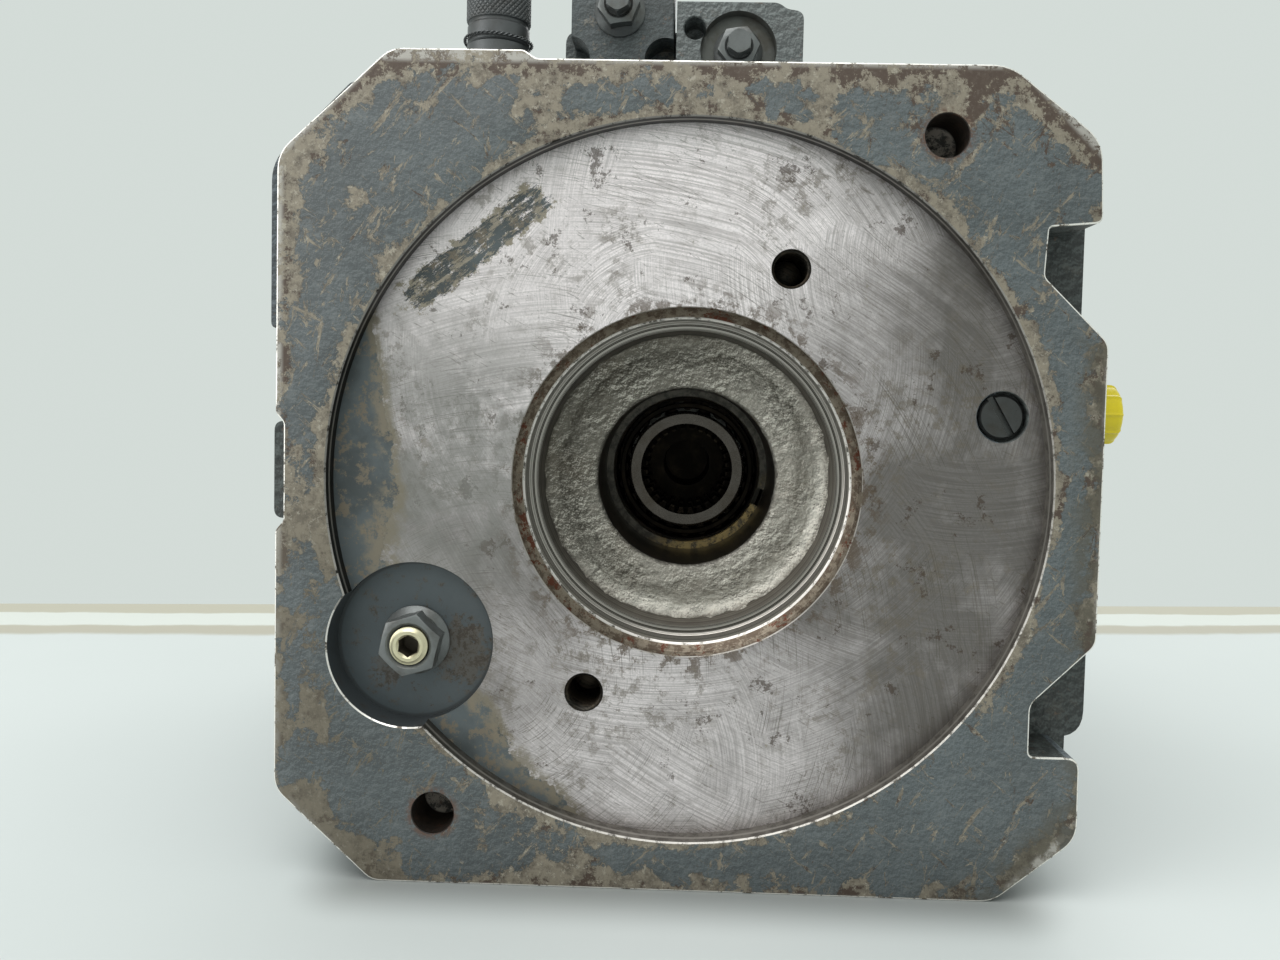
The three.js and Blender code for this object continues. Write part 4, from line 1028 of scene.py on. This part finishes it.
def face_holes():
    """Cutters for what is sunk into the rear face: recess, servo pocket, stepped bore and holes."""
    bore = rod([(55.5, PAD_FLOOR - 1), (54.4, PAD_FLOOR), (51.4, 11), (50.8, 11.4), (50.8, 20),
                (50.2, 20.5), (48, 20.5), (48, 26), (46, 31), (BORE_R + 1, 31), (BORE_R, 31.2),
                (BORE_R, 65.5), (31, 65.5), (31, 68.2), (BORE_R, 68.2), (BORE_R, 90.5), (25, 90.5),
                (25, REAR_END + 1)], 192)
    recess = rod([(112.95, -3), (RECESS_R, 0.45), (RECESS_R, PAD_FLOOR)], 288)
    pocket = rod([(POCKET_R + 3.4, -3), (POCKET_R, 0.4), (POCKET_R, 10)], 128, SERVO_SPOT)
    blind = [hole(6.5, 0, 15, spot, chamfer=0.25, tip=3.6) for spot in BLIND_HOLES]
    return [recess, pocket, bore, threaded_hole(THREAD_SPOT),
            threaded_hole((-THREAD_SPOT[0], -THREAD_SPOT[1])), *blind,
            hole(7.75, PAD_FLOOR, 11, PLUG_SPOT, chamfer=0.3), hole(5.6, 10, 22, PLUG_SPOT),
            hole(6.3, 9, 77, SERVO_SPOT), hole(19.8, 76, REAR_END + 1, SERVO_SPOT)]


def side_holes():
    """Cutters for the ports, the case bolts' threads and the plugs' seats."""
    cap, gauge, fitting = [middle_mm(node)
                           for node in ("yellow_port_cap", "gauge_port_plug", "cap_fitting")]
    bolts = [drilled(8.4, 20, (0, -1, 0), (x, REAR_END + 0.01, z)) for x, z in CASE_BOLTS]
    return [*socket_holes(1), *socket_holes(-1), kidney(1), kidney(-1), *bolts,
            drilled(9.2, 18, (-1, 0, 0), (CAP_FACE - 0.29, cap.y, cap.z), chamfer=0.8),
            drilled(9.2, 18, (1, 0, 0), (GAUGE_FACE - 0.01, gauge.y, gauge.z), chamfer=0.5),
            drilled(8.5, 14, (0, 0, -1), (fitting.x, fitting.y, SEAT + 0.01))]


def rear_look(corners, normal):
    """Which look a face of the rear casting wears."""
    centre, r = mid(corners), reach(corners)
    if reach(corners, SERVO_SPOT) < POCKET_R + 0.1 and centre.y < 10.5:
        return "pocket"
    if centre.y < 20 and min(reach(corners, spot) for spot in BLIND_HOLES) < 7:
        return "drilled"
    if r < 56.5:
        return "pilot" if centre.y < 29 else "bore"
    if r < RECESS_R + 0.3 and centre.y < PAD_FLOOR + 0.1:
        return "floor" if abs(normal.y) > 0.7 or r < 100 else "rim"
    if r < 82 and centre.y < 31:
        return "bore"
    if centre.y < 1.3 and abs(normal.y) > 0.95:
        return "face"
    if centre.y < PAD_FLOOR + 0.05 and RECESS_R - 0.3 < r < RECESS_R + 5:
        return "rim"
    if centre.y < 0.52:
        return "edge"
    # the ridge low on the right keeps the lighter plain cast paint as a painted highlight beside the shaded
    # notch
    if centre.x > 117 and centre.z < -45 and centre.y < 30:
        return "cast"
    # notches and the left lug's side get painted shade
    if (centre.x > 95 and centre.y < 40) or (centre.x < -124 and centre.y < 60):
        return "notch_painted_shade"
    return "cast"


def rear_casting():
    plate = soften(drawn(plate_outline(), 0, PLATE), 0.5, 2)
    cut(join(plate, rear_body()), *face_holes(), *side_holes())
    looks = ["rim", "pilot", "face", "floor", "pocket", "bore", "edge", "drilled", "notch_painted_shade", "cast"]
    choose(plate, looks, rear_look)
    show(plate, "rear_casting", "rear_port_housing")


def cast_ring():
    """The rough cast ring at the bottom of the through-drive opening, with its round fillet."""
    angles = [radians(90) * i / 10 for i in range(11)]
    fillet = [(48.2 - 5.6 * (1 - cos(t)), 25.6 + 4.9 * sin(t)) for t in angles]
    slope = [(42.6 - i * (42.6 - BORE_R - 0.8) / 26, 30.5 - 1.4 * sin(pi * i / 36)) for i in range(1, 27)]
    lip = [(BORE_R - 0.02, 30.8), (BORE_R - 0.02, 31.6), (48.2, 31.6), fillet[0]]
    ring_piece = turned(fillet + slope + lip, 288)
    roughen(ring_piece, 0.4, 4.2, lambda co: co.y < 30.8 and hypot(co.x, co.z) < 47.8)
    show(ring_piece, "cast_ring", look="ring", smooth=60)


# ---- pieces in the rear face ----

def hex_nut(flats, y0, y1, bore, spot, turn=0.0, flange=0.0, flange_to=None):
    """A hexagon nut with round-cut corners, standing towards -Y, and a coned flange behind it."""
    corner = flats / sqrt(3)
    nut = drawn(polygon(corner, 6, turn, spot), y0, y1)
    shell = rod([(flats * 0.46, y0 - 1), (flats * 0.475, y0),
                 (corner + 0.1, y0 + (corner - flats * 0.475) * 0.55), (corner + 0.1, y1 + 1)], 96,
                spot)
    combine(nut, [shell], "INTERSECT")
    if flange:
        join(nut, rod([(corner * 0.9, y1 - 1.2), (flange, flange_to - 0.8), (flange, flange_to)], 96, spot))
    return cut(nut, rod([(bore + 2.9, y0 - 2), (bore, y0 + 0.9), (bore, 40)], 64, spot))


def thread(r, y0, y1, spot, pitch=1.75, depth=0.55):
    """A rod with thread rings, chamfered at y0."""
    profile = [(0, y0), (r - 1.2, y0), (r - 0.3, y0 + 0.9)]
    y = y0 + 1
    while y < y1 - pitch:
        profile += [(r, y), (r - depth, y + pitch / 2)]
        y += pitch
    return turned(profile + [(r - depth, y1), (0, y1)], 48, spot)


def stop_screw():
    low, high = box_mm("stop_screw")
    spot = SERVO_SPOT
    screw = thread(5.9, low.y, high.y, spot)
    socket = drawn(polygon(6 / sqrt(3), 6, radians(28), spot), low.y - 1, low.y + 7)
    lead = rod([(4.6, low.y - 1), (3.0, low.y + 0.8)], 48, spot)
    cut(screw, socket, lead)

    def pick(corners, normal):
        in_socket = reach(corners, spot) < 3.7 and mid(corners).y > low.y + 0.9
        return "socket" if in_socket else "zinc"

    choose(screw, ["zinc", "socket"], pick)
    show(screw, "stop_screw_detail", "stop_screw")
    low, high = box_mm("stop_screw_nut")
    nut = hex_nut(17.2, low.y, high.y - 1.4, 6.25, spot, radians(17), 10.8, high.y)
    show(nut, "stop_nut_detail", "stop_screw_nut", "nut")


def slotted_plug():
    spot = PLUG_SPOT
    low, high = box_mm("slotted_plug")
    body = rod([(6.2, low.y), (6.9, low.y + 0.7), (6.9, 10.7), (5, 10.7), (5, high.y)], 96, spot)
    slot = block(-1, 1, -2, low.y + 1.8, -10, 10)
    slot.data.transform(Matrix.Translation((spot[0], 0, spot[1])) @ Matrix.Rotation(radians(-30), 4, "Y"))
    show(soften(cut(body, slot), 0.2), "slotted_plug_detail", "slotted_plug", "plug")


def rear_bearing():
    race = ring(26.2, 29.1, 68.6, 90.1, 0.7, 160)
    show(race, "rear_race_detail", "rear_bearing_ring", "bore")
    cage = ring(22.6, 24.7, 69.4, 89.4, 0.4, 128)
    needles = [ring(0.01, 1.9, 71, 88, 0.0, 16, spot) for spot in polygon(23.65, 24)]
    show(join(cage, *needles), "needle_cage_detail", "rear_bearing_needles", "inside",
         body="rear_needle_cage")
    snap = ring(26.8, 30.6, 65.8, 67.9, 0.25, 192)
    opening = drawn([(20, -2.6), (34, -3.6), (34, 3.6), (20, 2.6)], 60, 72)
    opening.data.transform(Matrix.Rotation(radians(20), 4, "Y"))
    show(cut(snap, opening), "rear_snap_ring_detail", "rear_snap_ring", "amber")


def shaft():
    """The drive shaft: rear face round its splined socket, drum spline, shoulders and front spline."""
    low, high = box_mm("drive_shaft")
    core = rod([(20.4, low.y), (21.2, low.y + 0.8), (21.2, 96), (19.6, 96.8), (19.6, 176), (22, 176.6),
                (22, 196), (24, 196.6), (24, 248), (31, 250), (31, 260), (27.5, 260), (27.5, 287),
                (25, 287.6), (25, 304), (18.6, 305.5), (18.6, high.y - 1), (17.6, high.y)], 160)
    teeth = drawn(toothed(13, 18.4, 21.9), 309, high.y - 1)
    cone = rod([(24, 300), (24, high.y - 4), (20, high.y)], 96)
    combine(teeth, [cone], "INTERSECT")
    join(core, teeth, drawn(toothed(10, 19.4, 22), 99, 125))
    mouth = rod([(17.2, low.y - 1), (16.7, low.y + 0.5), (16.7, low.y + 2.6), (15.2, low.y + 3.6)], 128)
    inner = drawn(toothed(28, 14.6, 16.7), low.y + 1, 104)
    relief = turned([(0, 84), (17.4, 84), (17.4, 88), (13.8, 89.4), (13.8, 92), (12.2, 93), (9.5, 96),
                     (9, 129), (0, 130)], 96)
    flat = block(-9, 9, 84.2, 93, -12.6, -9)
    centre_drill = turned([(0, high.y + 1), (4.5, high.y + 1), (3, high.y - 3), (3, high.y - 16),
                           (0, high.y - 18)], 48)
    cut(core, mouth, inner, relief, flat, centre_drill)

    def pick(corners, normal):
        centre = mid(corners)
        if reach(corners) < 18.7 and centre.y < 140:
            return "race" if centre.y < low.y + 0.6 and reach(corners) > 16.8 else "inside"
        if centre.y < low.y + 0.9:
            return "race"
        return "inside" if centre.y < 130 else "steel"

    choose(core, ["steel", "race", "inside"], pick)
    show(core, "drive_shaft_detail", "drive_shaft", body="rotating_group", smooth=30)


# ---- main housing ----

def main_body():
    """The bowed case with its shoulders, feet, drain boss, mounting flange and pilot."""
    drain = middle_mm("drain_port_plug")
    start = box_mm("main_housing")[0].y
    body = loft([(111, rounded_square(110, 75)), (160, rounded_square(109.2, 75)),
                 (205, rounded_square(107.8, 76)), (225, rounded_square(106, 77)),
                 (238, rounded_square(103, 79)), (248, rounded_square(99, 82)),
                 (257, rounded_square(95, 86)), (266, rounded_square(92, 88))])
    collar = drawn(cast_outline(), start, 112)
    servo_bulge = turned([(0, 111), (29, 111), (29, 222), (22, 232), (0, 234)], 64, SERVO_SPOT)
    top_pad = block(-55, 45, start, 154, 90, SEAT)
    left_foot = block(-74, -40, start, 222, BOTTOM, -80)
    right_foot = block(40, 74, start, 222, BOTTOM, -80)
    drain_boss = turn_to(rod([(18, 0), (18, 30)], 64), (1, 0, 0), (87, drain.y, drain.z))
    shoulders = soften(join(collar, servo_bulge, top_pad, left_foot, right_foot, drain_boss), 1.8, 3)
    flange = soften(drawn(rounded_square(103, 28), 264, FLANGE_Y), 1.2, 2)
    pilot = rod([(76.2, 288), (76.2, 301.2), (74.7, 302.7)], 192)
    return join(body, shoulders, flange, pilot)


def main_holes():
    """Cutters for the chamber, the bearing seat, the servo bore, the bolts and the drain port."""
    drain = middle_mm("drain_port_plug")
    start = box_mm("main_housing")[0].y
    bearing = rod([(50.3, 245), (50.3, 284.6), (40, 284.6), (40, 288.5), (36, 288.5), (36, 298),
                   (37.4, 298), (37.4, 300.6), (36, 300.6), (36, 301.4), (37.4, 304)], 160)
    chamber = rod([(75, 90), (75, 168), (84, 168), (84, 246)], 128)
    window = block(-72, -48, 160, 231, -69.5, -33)
    servo = rod([(19.8, 90), (19.8, 166), (21.5, 166), (21.5, 222)], 64, SERVO_SPOT)
    mounting = [rod([(18, 234), (18, 264), (10.5, 264.01), (10.5, 289.2), (13, 292)], 64, spot)
                for spot in FLANGE_BOLTS]
    case_bolts = [rod([(8.6, start - 1), (8.6, 113)], 48, spot) for spot in CASE_BOLTS]
    port = drilled(11, 26, (-1, 0, 0), (117.01, drain.y, drain.z), chamfer=0.8)
    return [chamber, window, bearing, servo, *mounting, *case_bolts, port]


def main_look(corners, normal):
    """Which look a face of the main casting wears."""
    centre, r = mid(corners), reach(corners)
    if centre.y > 283 and (normal.y > 0.9 or r < 77) and r < 150:
        return "turned" if r < 77.5 else "cast"
    if r < 84.2 and 90 < centre.y < 284:
        return "turned" if centre.y < 112 else "cast"
    return "cast"


def main_casting():
    body = cut(main_body(), *main_holes())
    choose(body, ["cast", "turned"], main_look)
    show(body, "main_casting", "main_housing")


def clamp_bolts():
    for i in range(1, 5):
        node = f"housing_bolt_{i}"
        low, high = box_mm(node)
        place = axis_spot(node)
        seat = high.y - 16
        head = rod([(7, low.y), (8, low.y + 1), (8, seat), (11.7, seat), (12, seat + 0.4),
                    (12, high.y - 1.2), (10.8, high.y)], 72, place)
        grips = drawn(toothed(42, 11.5, 12.4, spot=place), seat + 1.5, high.y - 2)
        combine(grips, [rod([(12, seat), (12, high.y)], 72, place)], "INTERSECT")
        groove = ring(11.55, 13, seat + 1.5, high.y - 2, 0, 72, place)
        head = join(cut(head, groove), grips)
        socket = drawn(polygon(14 / sqrt(3), 6, 0.3 * i, place), high.y - 8, high.y + 1)
        show(cut(head, socket), f"housing_bolt_{i}_detail", node, "dark")


def seal_and_plugs():
    seal = turned([(25.6, 292.4), (27, 290.4), (30, 289), (35.6, 289), (35.6, 297.6), (33.6, 297.6),
                   (33, 296.6), (30.5, 296.6), (29, 294.4), (27, 293.6), (25.6, 292.4)], 128)
    show(seal, "shaft_seal_detail", "shaft_seal", "rubber")
    snap = ring(32.4, 36.9, 298.3, 300.3, 0.25, 128)
    show(cut(snap, block(28, 42, 295, 303, -5, 5)), "seal_snap_ring_detail", "seal_snap_ring", "dark")
    drain = middle_mm("drain_port_plug")
    low, high = box_mm("drain_port_plug")
    length = high.x - low.x
    plug = hex_nut(25.9, 0, 6, 0, (0, 0), 0.4)
    plug = join(plug, rod([(10.4, 4), (10.4, length)], 64))
    show(turn_to(plug, (-1, 0, 0), (high.x, drain.y, drain.z)), "drain_plug_detail", "drain_port_plug",
         "dark")
    gauge = middle_mm("gauge_port_plug")
    low, high = box_mm("gauge_port_plug")
    plug = rod([(7.9, 0), (8.6, 0.7), (8.6, high.x - low.x)], 64)
    cut(plug, drawn(polygon(4.6, 6), -1, 6))
    show(turn_to(plug, (1, 0, 0), (low.x, gauge.y, gauge.z)), "gauge_plug_detail", "gauge_port_plug",
         "dark")


# ---- control block ----

def adjuster(side):
    """Hex-ended adjusting screw with its flanged lock nut."""
    place = axis_spot(f"{side}_adjusting_screw")
    low, high = box_mm(f"{side}_adjusting_screw")
    screw = join(thread(3.9, low.y + 4, high.y, place, 1.25, 0.4),
                 drawn(polygon(4.5, 6, 0.5, place), low.y + 0.3, low.y + 5))
    combine(screw, [rod([(3.7, low.y), (4.6, low.y + 0.8), (4.6, high.y + 1)], 48, place)], "INTERSECT")
    show(screw, f"{side}_screw_detail", f"{side}_adjusting_screw", "nut")
    low, high = box_mm(f"{side}_lock_nut")
    flange = (high.x - low.x) / 2
    nut = hex_nut(13, low.y, high.y - 1.6, 4.2, place, radians(8), flange, high.y)
    show(nut, f"{side}_nut_detail", f"{side}_lock_nut", "nut")


def control_block():
    low, high = box_mm("control_housing")
    front, back, top = low.y, high.y, high.z
    split = box_mm("valve_body")[1].x + 0.9
    screw = axis_spot("right_adjusting_screw")
    right = drawn(rounded([(split, low.z), (high.x, low.z), (high.x, top - 3, 3),
                           (high.x - 6, top - 2.2, 1.5), (high.x - 9, top, 2), (split, top)]),
                  front, back)
    left = drawn(rounded([(low.x, low.z), (split + 1, low.z), (split + 1, top - 2),
                          (low.x, top - 2, 5)]), box_mm("valve_body")[1].y + 0.3, back)
    body = soften(join(right, left), 0.9, 3)
    cut(body, rod([(14.6, front - 2), (13.25, front + 0.8), (13.25, front + 4)], 96, screw),
        hole(4.3, front, front + 30, screw),
        hole(4, front, front + 12, (-0.6, 158.3), chamfer=0.4, tip=2),
        hole(6.5, box_mm("valve_body")[1].y, 140, axis_spot("control_spool")))

    def pick(corners, normal):
        in_seat = reach(corners, screw) < 14 and mid(corners).y < front + 4.1
        return "seat" if in_seat else "control"

    choose(body, ["control", "seat"], pick)
    show(body, "control_block", "control_housing")
    valve_block()
    adjuster("left")
    adjuster("right")


def valve_block():
    low, high = box_mm("valve_body")
    valve = soften(drawn(rounded([(low.x, low.z), (high.x, low.z), (high.x, high.z, 4),
                                  (low.x, high.z, 4)]), low.y, high.y), 0.8, 3)
    screw = axis_spot("left_adjusting_screw")
    cut(valve, hole(7.5, low.y, low.y + 14, (low.x - 0.6, 147.5)),
        hole(7.5, low.y, low.y + 14, (high.x - 2.9, 147.3)),
        hole(4.3, low.y, high.y - 4, screw))
    show(valve, "valve_block", "valve_body", "valve")


def knurl(r, start, end, sides=240, rows=130, ridges=38):
    """A sleeve with two crossing sets of grooves that fade out at its ends."""
    sections = []
    for k in range(rows + 1):
        y = start + (end - start) * k / rows
        fade = min(1, k / 3, (rows - k) / 3)
        outline = []
        for i in range(sides):
            a = 2 * pi * i / sides
            one = abs(sin(ridges * a / 2 + y * 1.55))
            two = abs(sin(ridges * a / 2 - y * 1.55))
            depth = 0.45 * (1 - min(1, one * 1.6) * min(1, two * 1.6))
            radius = r - 0.12 - depth * fade - 0.35 * (1 - fade)
            outline.append((radius * sin(a), radius * cos(a)))
        sections.append((y, outline))
    return loft(sections)


def knurled_cap():
    """Cap with a real diamond knurl above its smooth skirt."""
    low, high = box_mm("knurled_cap")
    spot = middle_mm("knurled_cap")
    length, r = high.z - low.z, (high.x - low.x) / 2
    grip = knurl(r, 8.1, length - 2.5)
    skirt = rod([(8.9, 16), (8.9, 0), (r - 0.9, 0), (r - 0.5, 0.5), (r - 0.5, 6.2), (r - 1.1, 7.0),
                 (r - 1.1, 7.8), (r - 0.8, 8.2), (r - 0.8, length - 2.5), (r - 1.2, length - 0.9),
                 (r - 2.4, length)], 128)
    cap = turn_to(join(skirt, grip), (0, 0, 1), (spot.x, spot.y, low.z))
    show(cap, "knurled_cap_detail", "knurled_cap", "dark", smooth=25)
    cap_fitting(spot, low.z)


def cap_fitting(spot, cap_foot):
    """Hexagon fitting under the knurled cap."""
    top = box_mm("cap_fitting")[1]
    fitting = hex_nut(22.4, 0, 11, 0, (0, 0), pi / 2)
    turn_to(fitting, (0, 0, -1), (0, 0, 11))
    stem = turn_to(rod([(8, -12), (8, top.z - TOP_SEAT)], 64), (0, 0, 1))
    collar = rod([(10.7, -9), (11.1, -9.4), (11.1, TOP_SEAT - cap_foot + 0.4)], 96)
    fitting = join(fitting, stem, turn_to(collar, (0, 0, -1)))
    fitting.data.transform(Matrix.Translation((spot.x, spot.y, TOP_SEAT)))
    show(fitting, "cap_fitting_detail", "cap_fitting", "dark")


def seal_wire():
    """Two thin strands twisted round each other, laid once round the cap's skirt."""
    spot = middle_mm("seal_wire")
    turns, steps, section, wire = 22, 264, 8, 0.3
    points, faces = [], []
    for strand in (0, pi):
        first = len(points)
        for k in range(steps):
            a = 2 * pi * k / steps
            twist = turns * a + strand
            r, z = 11.8 + 0.34 * cos(twist), 0.34 * sin(twist) + 0.3 * sin(2 * a)
            for i in range(section):
                b = 2 * pi * i / section
                points.append((spot.x + (r + wire * cos(b)) * cos(a),
                               spot.y + (r + wire * cos(b)) * sin(a), spot.z + z + wire * sin(b)))
        for k in range(steps):
            n = (k + 1) % steps
            for i in range(section):
                j = (i + 1) % section
                faces.append([first + k * section + i, first + n * section + i, first + n * section + j,
                              first + k * section + j])
    show(mesh_object("wire", points, faces), "seal_wire_detail", "seal_wire", "dark")


def yellow_cap():
    """Fluted plastic cap: broad shallow flutes between narrow ribs, and a rounded end."""
    high = box_mm("yellow_port_cap")[1]
    spot = middle_mm("yellow_port_cap")
    length, r, ribs, sides = high.x - CAP_FACE, 10.25, 10, 240

    def outline(scale):
        shape = []
        for i in range(sides):
            a = 2 * pi * i / sides
            rib = max(0.0, cos(ribs * a)) ** 8
            far = (r - 0.5 + 0.5 * rib) * scale
            shape.append((far * cos(a), far * sin(a)))
        return shape

    angles = [radians(90) * i / 6 for i in range(7)]
    end = [(length - 2.6 + 2.6 * sin(t), outline(0.8 + 0.2 * cos(t))) for t in angles]
    dimple = rod([(5.6, length - 0.6), (6.4, length + 1)], 48)
    stem = rod([(7.8, -11), (8.6, -10), (8.6, 1)], 64)
    cap = cut(join(loft([(0, outline(0.97)), (0.5, outline(1))] + end), stem), dimple)
    turn_to(cap, (1, 0, 0), (CAP_FACE, spot.y, spot.z))
    show(cap, "yellow_cap_detail", "yellow_port_cap", "yellow", smooth=28)


# ---- pieces whose CAD shape stays ----

def dress(nodes, look):
    for node in nodes:
        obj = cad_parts[node]
        obj.data.materials.clear()
        obj.data.materials.append(LOOKS[look])


def inner_pieces():
    pistons = [f"piston_{i}" for i in range(1, 10)]
    slippers = [f"slipper_{i}" for i in range(1, 10)]
    dress(["cylinder_block", "retainer_ball", "swashplate", "servo_piston", "control_spool",
           "front_bearing_cone", "front_bearing_cup", "front_bearing_rollers"] + pistons, "steel")
    dress(["valve_plate", "cradle_bearing_left", "cradle_bearing_right"] + slippers, "bronze")
    dress(["slipper_retainer", "block_spring"], "dark")
    dress(["housing_gasket"], "gasket")


camera()
studio()
rear_casting()
cast_ring()
stop_screw()
slotted_plug()
rear_bearing()
shaft()
main_casting()
clamp_bolts()
seal_and_plugs()
control_block()
knurled_cap()
seal_wire()
yellow_cap()
inner_pieces()
